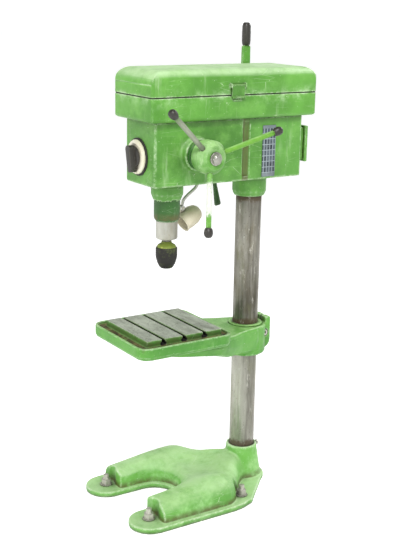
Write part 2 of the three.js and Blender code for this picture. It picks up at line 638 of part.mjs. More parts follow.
// ---------------------------------------------------------------- head
const COLUMN_BOSS_R = COLUMN_R + GAP + COLLAR_WALL;
const COLUMN_BOSS_TOP = COLUMN_TOP + 8;
const CLAMP_EAR_X = 24;
const HEAD_CLAMP_Y = -COLUMN_R - 33;
const HEAD_CLAMP_Z = HEAD_Z + 22;
const LEDGE_X = MOTOR_R + 4;
const LEDGE_BACK = HEAD_BACK - WALL;

// Two bosses hang below the head body: the spindle nose and the column collar.
function headBosses() {
  const nose = turned([[0, HEAD_Z - BOSS_DROP - 12], [GUIDE_R + 1, HEAD_Z - BOSS_DROP - 12],
    [BOSS_R - 2, HEAD_Z - BOSS_DROP + 2], [BOSS_R, HEAD_Z - BOSS_DROP + 6], [BOSS_R, BOSS_TOP],
    [0, BOSS_TOP]]);
  const collar = turned([[0, HEAD_Z - COLLAR_DROP], [COLUMN_BOSS_R - 5, HEAD_Z - COLLAR_DROP],
    [COLUMN_BOSS_R, HEAD_Z - COLLAR_DROP + 12], [COLUMN_BOSS_R, COLUMN_BOSS_TOP], [0, COLUMN_BOSS_TOP]]);
  const feed = alongX(rod(TIP_R + 9, -HEAD_X + 1, HEAD_X - 1)).translate([0, PINION_Y, PINION_Z]);
  const ears = box(-CLAMP_EAR_X, CLAMP_EAR_X, HEAD_CLAMP_Y - 15, -COLUMN_R, HEAD_Z + 1, HEAD_CLAMP_Z + 16);
  return join(nose.translate([0, SPINDLE_Y, 0]), collar, feed, ears);
}

// Stepped boss on the right face that carries the feed hub.
function feedBoss() {
  return alongX(turned([[0, -3], [FEED_BOSS_R + 2, -3], [FEED_BOSS_R + 2, 3], [FEED_BOSS_R, 6],
    [FEED_BOSS_R, FEED_BOSS_L - 3], [FEED_BOSS_R - 3, FEED_BOSS_L], [0, FEED_BOSS_L]]))
    .translate([HEAD_X, PINION_Y, PINION_Z]);
}

// Ledges on both side walls that the motor plate slides on.
function motorLedges() {
  const y0 = MOTOR_Y - MOTOR_R - MOTOR_SLIDE - 18;
  const ledge = box(LEDGE_X, HEAD_X - 1, y0, HEAD_BACK - 1, MOTOR_PLATE_Z - 9, MOTOR_PLATE_Z - GAP);
  const stop = box(LEDGE_X, HEAD_X - 1, y0, y0 + 6, MOTOR_PLATE_Z - 9, MOTOR_PLATE_Z + PLATE_T);
  const window = box(-HEAD_X + WALL - 0.1, -LEDGE_X + 1, LEVER_Y - 26, LEVER_Y + 26, MOTOR_PLATE_Z - 10,
    MOTOR_PLATE_Z);
  return join(ledge, stop, ledge.mirror([1, 0, 0]), stop.mirror([1, 0, 0])).subtract(window);
}

// Reliefs in the right face: an upright groove and the set-back rear panel.
function faceReliefs() {
  const panel = box(HEAD_X - REAR_STEP, HEAD_X + 1, REAR_STEP_Y, HEAD_BACK + 1, HEAD_Z - 1, HEAD_TOP + 1);
  const groove = box(HEAD_X - GROOVE_DEPTH, HEAD_X + 1, GROOVE_FRONT, GROOVE_BACK, HEAD_Z + 12,
    HEAD_TOP - 10);
  return [panel, groove];
}

function headCasting() {
  const shell = softBox(HEAD_X, HEAD_FRONT, HEAD_BACK, HEAD_Z, HEAD_TOP, HEAD_EDGE, HEAD_EDGE, 0);
  const room = softBox(HEAD_X - WALL, HEAD_FRONT + WALL, HEAD_BACK - WALL, HEAD_Z + WALL, HEAD_TOP + 20,
    3, 2, 0);
  let body = join(shell.subtract(room), motorLedges(), headBosses(), feedBoss());
  body = cut(body, ...faceReliefs());
  const guideBore = join(rod(GUIDE_R + GAP, HEAD_Z - BOSS_DROP - 13, GUIDE_TOP + GAP),
    rod(QUILL_R - 4, GUIDE_TOP, BOSS_TOP - 14), rod(bearingR(SLEEVE_R) + RUN, BOSS_TOP - 14, BOSS_TOP + 1));
  const shaftBore = alongX(join(rod(TIP_R + RUN, -PINION_HALF - 2, HEAD_X + FEED_BOSS_L + 1, SMALL),
    rod(FEED_SHAFT_R + RUN, -HEAD_X - 1, 0, SMALL)));
  const columnBore = rod(COLUMN_R + RUN, HEAD_Z - COLLAR_DROP - 1, COLUMN_TOP + GAP, FINE);
  const split = box(-3, 3, HEAD_CLAMP_Y - 16, 0, HEAD_Z + WALL, COLUMN_BOSS_TOP - 9);
  const clampHole = alongX(rod(CLAMP_BOLT_R + RUN, -HEAD_X - 1, CLAMP_EAR_X + 1, PIN));
  const leverHole = alongX(rod(8 + RUN, -HEAD_X - 1, -HEAD_X + WALL + 1, TINY));
  const switchHole = alongY(rod(21, HEAD_FRONT - 1, HEAD_FRONT + WALL + 1, SMALL));
  const wireHole = alongY(rod(12, HEAD_BACK - WALL - 1, HEAD_BACK + 1, TINY));
  const lampHole = rod(4 + RUN, HEAD_Z - 1, HEAD_Z + WALL + 1, PIN);
  return cut(body, guideBore.translate([0, SPINDLE_Y, 0]), shaftBore.translate([0, PINION_Y, PINION_Z]),
    columnBore, split, clampHole.translate([0, HEAD_CLAMP_Y, HEAD_CLAMP_Z]),
    leverHole.translate([0, LEVER_Y, LEVER_Z]), switchHole.translate([SWITCH_X, 0, HEAD_Z + SWITCH_RISE]),
    wireHole.translate([0, 0, HEAD_Z + BOX_Z + BOX_H / 2]), lampHole.translate([LAMP_X, LAMP_Y, 0]));
}

// Hanging lever that draws the split column boss together.
function headClampLever() {
  const boss = alongX(cut(rod(11, -18, 0, TINY), rod(CLAMP_BOLT_R + RUN, -14, 1, TINY)));
  const arm = loft([[-6, 5.5, 3.5], [-60, 6.5, 4], [-102, 9.5, 5], [-114, 10.5, 5.5], [-117, 8.5, 4]]
    .map(([z, half, thick]) => Array.from({ length: 10 }, (_, i) => {
      const a = 2 * Math.PI * i / 10;
      return new THREE.Vector3(-9 + thick * Math.cos(a), half * Math.sin(a), z);
    })));
  return join(boss, arm).rotate([11, 0, 0]);
}

function headBody(root) {
  piece(root, 'head_casting', headCasting(), PAINT);
  const guide = turned([[QUILL_R + RUN, HEAD_Z - GUIDE_DROP], [GUIDE_R - 7, HEAD_Z - GUIDE_DROP],
    [GUIDE_R - 2, HEAD_Z - GUIDE_DROP + 4], [GUIDE_R, HEAD_Z - GUIDE_DROP + 10], [GUIDE_R, GUIDE_TOP],
    [QUILL_R + RUN, GUIDE_TOP]]);
  const window = alongX(rod(TIP_R + 3, -40, 40, SMALL)).translate([0, PINION_Y - SPINDLE_Y, PINION_Z]);
  piece(root, 'quill_guide', guide.subtract(window), PAINT, [0, SPINDLE_Y, 0]);
  const bolt = alongX(join(rod(CLAMP_BOLT_R, -HEAD_X - 13, CLAMP_EAR_X + 4, PIN),
    hexagon(18, CLAMP_EAR_X + GAP, CLAMP_EAR_X + 9)));
  piece(root, 'head_clamp_bolt', bolt, STEEL, [0, HEAD_CLAMP_Y, HEAD_CLAMP_Z]);
  piece(root, 'head_clamp_lever', headClampLever(), PAINT, [-HEAD_X - GAP, HEAD_CLAMP_Y, HEAD_CLAMP_Z]);
  const plate = box(HEAD_X + GAP, HEAD_X + GAP + CHART_T, CHART_Y, CHART_Y + CHART_W, HEAD_Z + 7,
    HEAD_Z + 7 + CHART_H);
  piece(root, 'speed_plate', plate, STEEL);
}

// Electrical parts: rotary switch on the front, terminal box with cover and gland at the back.
function switchParts(root) {
  const seat = group(root, SWITCH_X, HEAD_FRONT, HEAD_Z + SWITCH_RISE);
  const toFront = (body) => body.rotate([90, 0, 0]);       // +Z goes to -Y
  piece(seat, 'switch_gasket', toFront(tube(SWITCH_R + 4, 21, GAP, 3.3, FINE)), RUBBER);
  const bezel = turned([[0, 3.6], [SWITCH_R, 3.6], [SWITCH_R, 8], [SWITCH_R - 3, 11], [SWITCH_R - 10, 12],
    [SWITCH_R - 12, 10], [0, 10]], FINE);
  const body = join(bezel, rod(20, -30, 4, SMALL)).subtract(rod(8 + RUN, 5, 13, TINY));
  piece(seat, 'switch_body', toFront(body), IVORY);
  const grip = slab(roundRect(-10, 10, -38, 30, 9), 13, 30, 4);
  const knob = join(turned([[0, 10.6], [26, 10.6], [26, 13], [22, 16], [0, 16]], MID), rod(8, 5.5, 12,
    PIN), grip);
  piece(seat, 'switch_knob', toFront(knob.rotate([0, 0, 12])), DARK);
}

function terminalParts(root) {
  const [z0, z1] = [HEAD_Z + BOX_Z, HEAD_Z + BOX_Z + BOX_H];
  const back = HEAD_BACK + 21;
  const shell = softBox(BOX_X - 6, HEAD_BACK + GAP, back, z0 + 5, z1 - 5, 5, 3, 3);
  const room = box(-BOX_X + 10, BOX_X - 10, HEAD_BACK + 4, back + 1, z0 + 9, z1 - 9);
  const wires = alongY(rod(12, HEAD_BACK, HEAD_BACK + 5, TINY)).translate([0, 0, (z0 + z1) / 2]);
  const outlet = rod(9, z0, z0 + 14, TINY).translate([BOX_X / 2, HEAD_BACK + 11.5, 0]);
  piece(root, 'terminal_box', cut(shell, room, wires, outlet), PAINT);
  piece(root, 'terminal_cover', softBox(BOX_X, back + GAP, back + 10, z0, z1, 3, 3, 3), PAINT);
  const gland = join(tube(8, 4.5, 2, 12, TINY), cut(hexagon(16, -6, 4.5), rod(4.5, -7, 5, TINY)),
    tube(9, 4.5, -14, -5, TINY));
  piece(root, 'cable_gland', gland, DARK, [BOX_X / 2, HEAD_BACK + 11.5, z0]);
}

// ---------------------------------------------------------------- quill, spindle and chuck
const bearingR = (inner) => inner + BEARING_WALL;
const SEAT_H = 14;

// Cutter that leaves rack teeth standing on the back of the quill.
function rackCutter() {
  const pitch = Math.PI * GEAR_MODULE;
  const lean = Math.tan(25 * Math.PI / 180);
  const line = QUILL_R - RACK_DEPTH;
  const [tip, root] = [line + GEAR_MODULE, line - 1.25 * GEAR_MODULE];
  const halfGap = pitch / 4 + 0.15;
  const count = Math.round((QUILL_TOP - PINION_Z) / pitch);
  const end = PINION_Z + (count + 0.5) * pitch;
  const s = new THREE.Shape();
  s.moveTo(tip, PINION_Z - 3 * pitch);
  for (let i = -2; i <= count; i += 1) {
    const z = PINION_Z + i * pitch;
    s.lineTo(tip, z - halfGap - GEAR_MODULE * lean);
    s.lineTo(root, z - halfGap + 1.25 * GEAR_MODULE * lean);
    s.lineTo(root, z + halfGap - 1.25 * GEAR_MODULE * lean);
    s.lineTo(tip, z + halfGap + GEAR_MODULE * lean);
  }
  s.lineTo(tip, end);
  s.lineTo(QUILL_R + 3, end);
  s.lineTo(QUILL_R + 3, PINION_Z - 3 * pitch);
  return slabX(s, -QUILL_R, QUILL_R);
}

function quill() {
  const seat = bearingR(SHAFT_R) + RUN;
  const outline = [[SHAFT_R + 3, QUILL_BOTTOM + 4], [seat, QUILL_BOTTOM + 4], [seat, QUILL_BOTTOM],
    [QUILL_R - 2, QUILL_BOTTOM], [QUILL_R, QUILL_BOTTOM + 2], [QUILL_R, QUILL_TOP], [seat, QUILL_TOP],
    [seat, QUILL_TOP - SEAT_H - 2], [SHAFT_R + 3, QUILL_TOP - SEAT_H - 2]];
  const lowerSeat = tube(seat, SHAFT_R, QUILL_BOTTOM - 1, QUILL_BOTTOM + SEAT_H + 3);
  return cut(turned(outline, FINE), lowerSeat, rackCutter());
}

// Six-key spline section; `grow` opens it for the mating bore.
function splineShape(r, grow) {
  const s = new THREE.Shape();
  for (let i = 0; i < 6; i += 1) {
    const a = i * Math.PI / 3;
    [[r - 2.5 + grow, -0.34], [r + grow, -0.22], [r + grow, 0.22], [r - 2.5 + grow, 0.34]].forEach((
    [q, b], j) => {
      const [x, y] = [q * Math.cos(a + b), q * Math.sin(a + b)];
      if (i + j === 0) s.moveTo(x, y);
      else s.lineTo(x, y);
    });
  }
  return s;
}

function spindleShaft() {
  const spline = slab(splineShape(SHAFT_R, 0), QUILL_TOP - 1, BOSS_TOP + 74);
  const plain = turned([[0, CHUCK_TOP - 28], [8, CHUCK_TOP - 28], [9.5, CHUCK_TOP + 1],
    [SHAFT_R + 1.5, CHUCK_TOP + 2],
    [SHAFT_R + 1.5, QUILL_BOTTOM + 2], [SHAFT_R, QUILL_BOTTOM + 3], [SHAFT_R, QUILL_TOP], [0, QUILL_TOP]],
      MID);
  return join(plain, spline);
}

const bearing = (inner, z0, z1) => turned([[inner + RUN, z0], [bearingR(inner) - 1, z0],
  [bearingR(inner), z0 + 1],
  [bearingR(inner), z1 - 1], [bearingR(inner) - 1, z1], [inner + RUN, z1]], MID);

// Chuck: body with taper bore, and a sleeve that drives three slanted jaws.
const SLEEVE_TOP = CHUCK_TOP - 15;
const CHUCK_CORE_R = CHUCK_R - 7;
const JAW_LEAN = 15;
const JAW_RISE = 60;

// Places a jaw-shaped rod in its slanted guide, k-th of three.
function jawAt(k, r, length, drop) {
  const start = [0, 0, CHUCK_TIP + 3];
  return rod(r, -drop, length, PIN).translate([JAW_R + 1.2, 0, 0]).rotate([0, JAW_LEAN, 0])
    .rotate([0, 0, 60 + 120 * k]).translate(start);
}

function chuckBody() {
  const core = turned([[0, CHUCK_TIP + 7], [10.5, CHUCK_TIP + 7], [15.5, CHUCK_TIP + 20],
    [CHUCK_CORE_R, SLEEVE_TOP - 22], [CHUCK_CORE_R, SLEEVE_TOP + GAP], [CHUCK_R - 3, SLEEVE_TOP + GAP],
    [CHUCK_R - 5, SLEEVE_TOP + 5], [14, CHUCK_TOP - 4], [13, CHUCK_TOP], [0, CHUCK_TOP]], FINE);
  const taper = turned([[0, CHUCK_TOP - 29], [8 + GAP, CHUCK_TOP - 29], [9.5 + GAP, CHUCK_TOP + 2],
    [0, CHUCK_TOP + 2]], MID);
  const mouth = rod(6.5, CHUCK_TIP, CHUCK_TOP - 30, PIN);
  const guides = [0, 1, 2].map((k) => jawAt(k, JAW_R + GAP, JAW_RISE, 12));
  return cut(core, taper, mouth, ...guides);
}

function chuckSleeve() {
  const inner = GAP + CHUCK_CORE_R;
  const outline = [[12, CHUCK_TIP + 2], [15, CHUCK_TIP], [19, CHUCK_TIP + 4], [24, CHUCK_TIP + 14],
    [CHUCK_R - 1, CHUCK_TIP + 26], [CHUCK_R, CHUCK_TIP + 34], [CHUCK_R, SLEEVE_TOP - 3],
    [CHUCK_R - 2, SLEEVE_TOP],
    [inner, SLEEVE_TOP], [inner, SLEEVE_TOP - 22], [16.4, CHUCK_TIP + 19.5], [12, CHUCK_TIP + 7.5]];
  return cut(turned(outline, FINE), ...[0, 1, 2].map((k) => jawAt(k, JAW_R + 1.2, JAW_RISE, 12)));
}

function spindleParts(root) {
  const axis = group(root, 0, SPINDLE_Y, 0);
  piece(axis, 'quill', quill(), STEEL);
  piece(axis, 'lower_bearing', bearing(SHAFT_R, QUILL_BOTTOM + 3.4, QUILL_BOTTOM + SEAT_H + 2), STEEL);
  piece(axis, 'upper_bearing', bearing(SHAFT_R, QUILL_TOP - SEAT_H - 1.5, QUILL_TOP - 1.5), STEEL);
  piece(axis, 'spindle_shaft', spindleShaft(), STEEL);
  piece(axis, 'chuck_body', chuckBody(), DARK);
  piece(axis, 'chuck_sleeve', chuckSleeve(), DARK);
  for (let k = 0; k < 3; k += 1) {
    const wedge = box(-20, 20, -20, 20, CHUCK_TIP - 20, CHUCK_TIP + 1.5);
    piece(axis, `chuck_jaw_${k + 1}`, jawAt(k, JAW_R, JAW_RISE - 24, 3).subtract(wedge), STEEL);
  }
}

// ---------------------------------------------------------------- feed shaft, capstan and return spring
// Pinion section, teeth centred so that one points into a rack gap.
function pinionShape() {
  const pressure = 25 * Math.PI / 180;
  const baseR = PITCH_R * Math.cos(pressure);
  const involute = (a) => Math.tan(a) - a;
  const halfAngle = (r) => Math.PI / (2 * GEAR_TEETH) * 0.88 + involute(pressure)
    - involute(Math.acos(Math.min(1, baseR / r)));
  const radii = [ROOT_R, PITCH_R - 0.6, TIP_R - 0.2];
  const s = new THREE.Shape();
  for (let i = 0; i < GEAR_TEETH; i += 1) {
    const middle = Math.PI + 2 * Math.PI * i / GEAR_TEETH;
    const flank = radii.map((r) => [r, halfAngle(Math.max(r, baseR))]);
    const tooth = [...flank.map(([r, a]) => [r, -a]), ...flank.reverse().map(([r, a]) => [r, a])];
    tooth.forEach(([r, a], j) => {
      const [x, y] = [r * Math.cos(middle + a), r * Math.sin(middle + a)];
      if (i + j === 0) s.moveTo(x, y);
      else s.lineTo(x, y);
    });
  }
  return s;
}

const SPRING_X = HEAD_X + GAP;
const SPRING_L = 24;

function pinionShaft() {
  const turnedShaft = alongX(join(rod(FEED_SHAFT_R, -SPRING_X - SPRING_L + 2, -PINION_HALF, SMALL),
    rod(ROOT_R - 0.5, -PINION_HALF - 1, PINION_HALF + 1, SMALL),
    rod(TIP_R - 0.2, PINION_HALF, HEAD_X + FEED_BOSS_L - 1, SMALL),
    rod(FEED_SHAFT_R, HEAD_X + FEED_BOSS_L - 2, HEAD_X + FEED_BOSS_L + RING_L + HUB_L, SMALL),
    rod(8, HEAD_X + FEED_BOSS_L + RING_L + HUB_L - 1, HEAD_X + FEED_BOSS_L + RING_L + HUB_L + 8, PIN)));
  return join(turnedShaft, slabX(pinionShape(), -PINION_HALF, PINION_HALF));
}

// Clock spring wound from the arbor to the housing wall.
function returnSpring() {
  const [inner, outer, turns, thick] = [FEED_SHAFT_R + 0.8, HUB_R - 10, 4, 1.2];
  const steps = 11 * turns;
  const rings = Array.from({ length: steps + 1 }, (_, i) => {
    const a = 2 * Math.PI * turns * i / steps;
    const r = inner + (outer - inner - thick) * i / steps;
    return [[r, 4], [r + thick, 4], [r + thick, SPRING_L - 6], [r, SPRING_L - 6]]
      .map(([q, x]) => new THREE.Vector3(-SPRING_X - x, q * Math.cos(a), q * Math.sin(a)));
  });
  return loft(rings);
}

function springHousing() {
  const outline = [[HUB_R - 9.4, 0], [HUB_R - 5, 0], [HUB_R - 5, SPRING_L - 3], [HUB_R - 8, SPRING_L],
    [FEED_SHAFT_R + RUN, SPRING_L], [FEED_SHAFT_R + RUN, SPRING_L - 3.5], [HUB_R - 9.4, SPRING_L - 3.5]];
  const lugs = [0, 1, 2].map((k) => hexagon(9, SPRING_L - 1, SPRING_L + 3).translate(
    [0, 26, 0]).rotate([0, 0, 120 * k]));
  return join(turned(outline), ...lugs).rotate([0, -90, 0]).translate([-SPRING_X, 0, 0]);
}

const HUB_X = HEAD_X + FEED_BOSS_L + RING_L;     // inner face of the hub body
const SPOKE_X = HUB_X + 24;                      // the three spoke axes meet here

// Turns a piece that stands along +Z at the hub centre into the k-th spoke direction.
function spokeTurn(body, k) {
  const lean = Math.atan2(SPOKE_LEAN, SPOKE_REACH) * 180 / Math.PI;
  const turn = SPOKE_START_DEG + 120 * k - 90;
  return body.rotate([0, lean, 0]).rotate([turn, 0, 0]).translate([SPOKE_X, 0, 0]);
}

const SPOKE_LENGTH = Math.hypot(SPOKE_LEAN, SPOKE_REACH);

function feedHub() {
  const neck = tube(24, FEED_SHAFT_R + RUN, HUB_X - RING_L + RUN, HUB_X + 1, MID);
  const face = HUB_X + HUB_L;
  const hub = turned([[FEED_SHAFT_R + RUN, HUB_X], [HUB_R - 3, HUB_X], [HUB_R, HUB_X + 4],
    [HUB_R, face - 18], [HUB_R - 3, face - 14], [HUB_R - 9, face - 6], [HUB_R - 12, face - 2],
    [HUB_R - 15, face], [FEED_SHAFT_R + RUN, face]]);
  const sockets = [0, 1, 2].map((k) => spokeTurn(rod(SPOKE_R + GAP, 24, 60, PIN), k));
  return cut(alongX(join(neck, hub)), ...sockets);
}

function depthRing() {
  const [x0, x1] = [HEAD_X + FEED_BOSS_L + RUN, HUB_X - GAP];
  const mid = (x0 + x1) / 2;
  const outline = [[24 + GAP, x0], [RING_R - 1, x0], [RING_R, x0 + 1], [RING_R, mid - 1.5],
    [RING_R - 2, mid], [RING_R - 2, x1 - 2], [RING_R - 3, x1], [24 + GAP, x1]];
  return alongX(turned(outline, FINE));
}

function feedParts(root) {
  const axis = group(root, 0, PINION_Y, PINION_Z);
  piece(axis, 'pinion_shaft', pinionShaft(), STEEL);
  piece(axis, 'return_spring', returnSpring(), STEEL);
  piece(axis, 'spring_housing', springHousing(), PAINT);
  piece(axis, 'feed_hub', feedHub(), PAINT);
  piece(axis, 'depth_ring', depthRing(), PAINT);
  const face = HUB_X + HUB_L + GAP;
  const nut = join(rod(17, face, face + 2.5, SMALL), hexagon(24, face + 2, face + 9),
    turned([[0, face + 9], [10, face + 9], [8, face + 12], [0, face + 13]], TINY));
  piece(axis, 'hub_nut', alongX(nut.subtract(rod(8 + GAP, face - 1, HUB_X + HUB_L + 8.5, PIN))), STEEL);
  for (let k = 0; k < 3; k += 1) {
    const spoke = rod(SPOKE_R, 25, SPOKE_LENGTH + 2, PIN);
    const knob = turned([[SPOKE_R + RUN, SPOKE_LENGTH - 12], [9, SPOKE_LENGTH - 13], [11, SPOKE_LENGTH - 7],
      [KNOB_R, SPOKE_LENGTH], [10, SPOKE_LENGTH + 7], [6, SPOKE_LENGTH + 11], [0, SPOKE_LENGTH + 12],
      [0, SPOKE_LENGTH + 2 + GAP], [SPOKE_R + RUN, SPOKE_LENGTH + 2 + GAP]].reverse(), TINY);
    piece(axis, `spoke_${k + 1}`, spokeTurn(spoke, k), PAINT);
    piece(axis, `knob_${k + 1}`, spokeTurn(knob, k), DARK);
  }
}

// ---------------------------------------------------------------- belt guard
const LID_ROLL = 24;
const LID_END_ROLL = 40;
const PAN_ROLL = 11;
const GUARD_CORNER = 6;
const SHAFT_SLOT_R = 14;

// Knuckle of the rear hinge between x0 and x1, with a web to the wall it belongs to.
function knuckle(x0, x1, webLow, webHigh) {
  const round = alongX(rod(HINGE_R - GAP, x0, x1, TINY)).translate([0, HINGE_Y, HINGE_Z]);
  return join(round, box(x0, x1, GUARD_BACK - 1, HINGE_Y - 1, webLow, webHigh));
}

const hingeBore = () => alongX(rod(2 + GAP, -70, 70, PIN)).translate([0, HINGE_Y, HINGE_Z]);

function guardPan() {
  const outer = softBox(GUARD_X, GUARD_FRONT, GUARD_BACK, PAN_Z, PAN_TOP, GUARD_CORNER, PAN_ROLL, 0);
  const inner = softBox(GUARD_X - SHEET, GUARD_FRONT + SHEET, GUARD_BACK - SHEET, PAN_Z + SHEET,
    PAN_TOP + 20,
    GUARD_CORNER - 2, PAN_ROLL - 2, 0);
  const bossHole = rod(BOSS_R + GAP, PAN_Z - 1, PAN_Z + 20).translate([0, SPINDLE_Y, 0]);
  const shaftSlot = join(rod(SHAFT_SLOT_R, PAN_Z - 1, PAN_Z + 20, SMALL).translate([0, MOTOR_Y, 0]),
    rod(SHAFT_SLOT_R, PAN_Z - 1, PAN_Z + 20, SMALL).translate([0, MOTOR_Y - MOTOR_SLIDE, 0]),
    box(-SHAFT_SLOT_R, SHAFT_SLOT_R, MOTOR_Y - MOTOR_SLIDE, MOTOR_Y, PAN_Z - 1, PAN_Z + 20));
  const keeper = box(GUARD_X - 1, GUARD_X + 3, LATCH_Y - 12, LATCH_Y + 12, PAN_TOP - 12, PAN_TOP - 8.5);
  const knuckles = [knuckle(-60, -20, HINGE_Z - 9, HINGE_Z - 1), knuckle(20, 60, HINGE_Z - 9, HINGE_Z - 1)];
  return cut(join(cut(outer, inner, bossHole, shaftSlot), keeper, ...knuckles), hingeBore());
}

function guardLid() {
  const outer = softBox(GUARD_X, GUARD_FRONT, GUARD_BACK, LID_Z, LID_TOP, GUARD_CORNER, 0, LID_ROLL,
    LID_END_ROLL, 5);
  const inner = softBox(GUARD_X - SHEET, GUARD_FRONT + SHEET, GUARD_BACK - SHEET, LID_Z - 20,
    LID_TOP - SHEET, GUARD_CORNER - 2, 0, LID_ROLL - SHEET, LID_END_ROLL - SHEET, 5);
  const lug = box(GUARD_X - 1, GUARD_X + 7, LATCH_Y + LATCH_W / 2 + GAP, LATCH_Y + LATCH_W / 2 + 4,
    LID_Z + 18, LID_Z + 28);
  const hinges = knuckle(-20 + GAP, 20 - GAP, HINGE_Z + 1, HINGE_Z + 9);
  const lugs = join(lug, lug.translate([0, -LATCH_W - 4 - GAP, 0]))
    .subtract(alongY(rod(2 + GAP, LATCH_Y - 40, LATCH_Y + 40, 12)).translate([GUARD_X + 4, 0, LID_Z + 23]));
  return join(outer.subtract(inner), lugs, hinges).subtract(hingeBore());
}

// Latch plate that hangs over the joint; its foot is bent out as a finger lip.
function latch() {
  const s = new THREE.Shape();
  s.moveTo(GUARD_X + 1.5, LID_Z - 8);
  s.lineTo(GUARD_X + 8, LID_Z - 9);
  s.lineTo(GUARD_X + 8.5, LID_Z - 6);
  s.lineTo(GUARD_X + 4.5, LID_Z - 4);
  s.lineTo(GUARD_X + 5.5, LID_Z + 23);
  s.absarc(GUARD_X + 4, LID_Z + 23, 3, 0, Math.PI, false);
  s.lineTo(GUARD_X + 1.2, LID_Z + 20);
  const plate = slabY(s, LATCH_Y - LATCH_W / 2 + GAP, LATCH_Y + LATCH_W / 2 - GAP, 4);
  const pin = alongY(rod(2, LATCH_Y - LATCH_W / 2 - 3.5, LATCH_Y + LATCH_W / 2 + 3.5, 12));
  return join(plate, pin.translate([GUARD_X + 4, 0, LID_Z + 23]));
}

function guardParts(root) {
  piece(root, 'guard_pan', guardPan(), PAINT);
  piece(root, 'guard_lid', guardLid(), PAINT);
  const ring = slab(roundRect(-GUARD_X + 1.2, GUARD_X - 1.2, GUARD_FRONT + 1.2, GUARD_BACK - 1.2,
    GUARD_CORNER - 1),
    PAN_TOP + GAP, PAN_TOP + GAP + SEAL_H, 3);
  const room = slab(roundRect(-GUARD_X + SHEET + 1, GUARD_X - SHEET - 1, GUARD_FRONT + SHEET + 1,
    GUARD_BACK - SHEET - 1, GUARD_CORNER - 3), PAN_TOP, LID_Z, 3);
  piece(root, 'lid_seal', ring.subtract(room), RUBBER);
  piece(root, 'lid_hinge_pin', alongX(rod(2, -61, 61, PIN)), STEEL, [0, HINGE_Y, HINGE_Z]);
  piece(root, 'lid_latch', latch(), PAINT);
}

// ---------------------------------------------------------------- belt drive
const BELT = { outer: 2, inner: 6, halfOuter: 6, halfInner: 4 };

// Three-step V pulley; `order` is +1 with the large step below, -1 with it above.
function stepPulley(bore, order) {
  const slope = (BELT.halfOuter - BELT.halfInner) / (BELT.outer + BELT.inner);
  const outline = [[bore, PULLEY_Z]];
  for (let i = 0; i < 3; i += 1) {
    const p = PULLEY_PITCH_R + order * (1 - i) * PULLEY_STEP;
    const z = PULLEY_Z + (i + 0.5) * PULLEY_RISE;
    const wide = BELT.halfOuter + slope + RUN;
    const narrow = BELT.halfInner - slope + RUN;
    outline.push([p + 3, z - PULLEY_RISE / 2], [p + 3, z - wide], [p - 7, z - narrow], [p - 7, z + narrow],
      [p + 3, z + wide], [p + 3, z + PULLEY_RISE / 2]);
  }
  outline.push([bore, PULLEY_Z + 3 * PULLEY_RISE]);
  return turned(outline, MID);
}

// Pulley cast in one with its keyed hub, which runs in the boss bearing.
function spindlePulley() {
  const hub = join(rod(SLEEVE_R, BOSS_TOP - 13, PULLEY_Z + 1, MID), rod(SLEEVE_R + 6, BOSS_TOP + 0.5,
    PULLEY_Z + 1, MID),
    rod(SLEEVE_R + 2, PULLEY_Z, PULLEY_Z + 3 * PULLEY_RISE + 6, MID), stepPulley(SLEEVE_R, 1));
  return hub.subtract(slab(splineShape(SHAFT_R, GAP), BOSS_TOP - 14, PULLEY_Z + 3 * PULLEY_RISE + 7));
}

function driveBelt() {
  const steps = 13;
  const total = 2 * steps;
  return hoop(total, (i) => {
    const front = i < steps;
    const a = (front ? Math.PI : 0) + Math.PI * (i % steps) / (steps - 1);
    const y = front ? SPINDLE_Y : MOTOR_Y;
    return [[-BELT.inner, -BELT.halfInner], [BELT.outer, -BELT.halfOuter], [BELT.outer, BELT.halfOuter],
      [-BELT.inner, BELT.halfInner]].map(([u, z]) => new THREE.Vector3(
      (PULLEY_PITCH_R + u) * Math.cos(a), y + (PULLEY_PITCH_R + u) * Math.sin(a), BELT_Z + z));
  });
}

const CRANK_R = MOTOR_SLIDE / 2 / Math.sin(Math.PI / 6);

// Sliding plate that the motor hangs from; its tab takes the crank pin of the tension lever.
function motorPlate() {
  const side = HEAD_X - WALL - RUN;
  const plate = box(-side, side, MOTOR_Y - MOTOR_R - MOTOR_CLEAR + RUN, MOTOR_Y + MOTOR_R + MOTOR_CLEAR - 4,
    MOTOR_PLATE_Z, MOTOR_PLATE_Z + PLATE_T);
  const pinY = LEVER_Y + MOTOR_SLIDE / 2;
  const tab = box(-LEDGE_X - 4, -LEDGE_X + 1, pinY - 9, pinY + 9, LEVER_Z - 18, MOTOR_PLATE_Z + 1);
  const slot = box(-LEDGE_X - 5, -LEDGE_X + 2, pinY - 4 - RUN, pinY + 4 + RUN, LEVER_Z - 20, LEVER_Z - 5);
  return cut(join(plate, tab), slot, rod(8 + RUN, MOTOR_PLATE_Z - 1, MOTOR_PLATE_Z + PLATE_T + 1, TINY)
    .translate([0, MOTOR_Y, 0]));
}

function motorBody() {
  const [z1, z0] = [MOTOR_PLATE_Z - GAP, MOTOR_PLATE_Z - MOTOR_H];
  const outline = [[0, z0], [MOTOR_R - 16, z0], [MOTOR_R - 4, z0 + 8], [MOTOR_R - 4, z0 + 18],
    [MOTOR_R, z0 + 20], [MOTOR_R, z1 - 20], [MOTOR_R - 4, z1 - 18], [MOTOR_R - 4, z1], [0, z1]];
  return turned(outline).subtract(rod(8 + RUN, z1 - 50, z1 + 1, TINY));
}

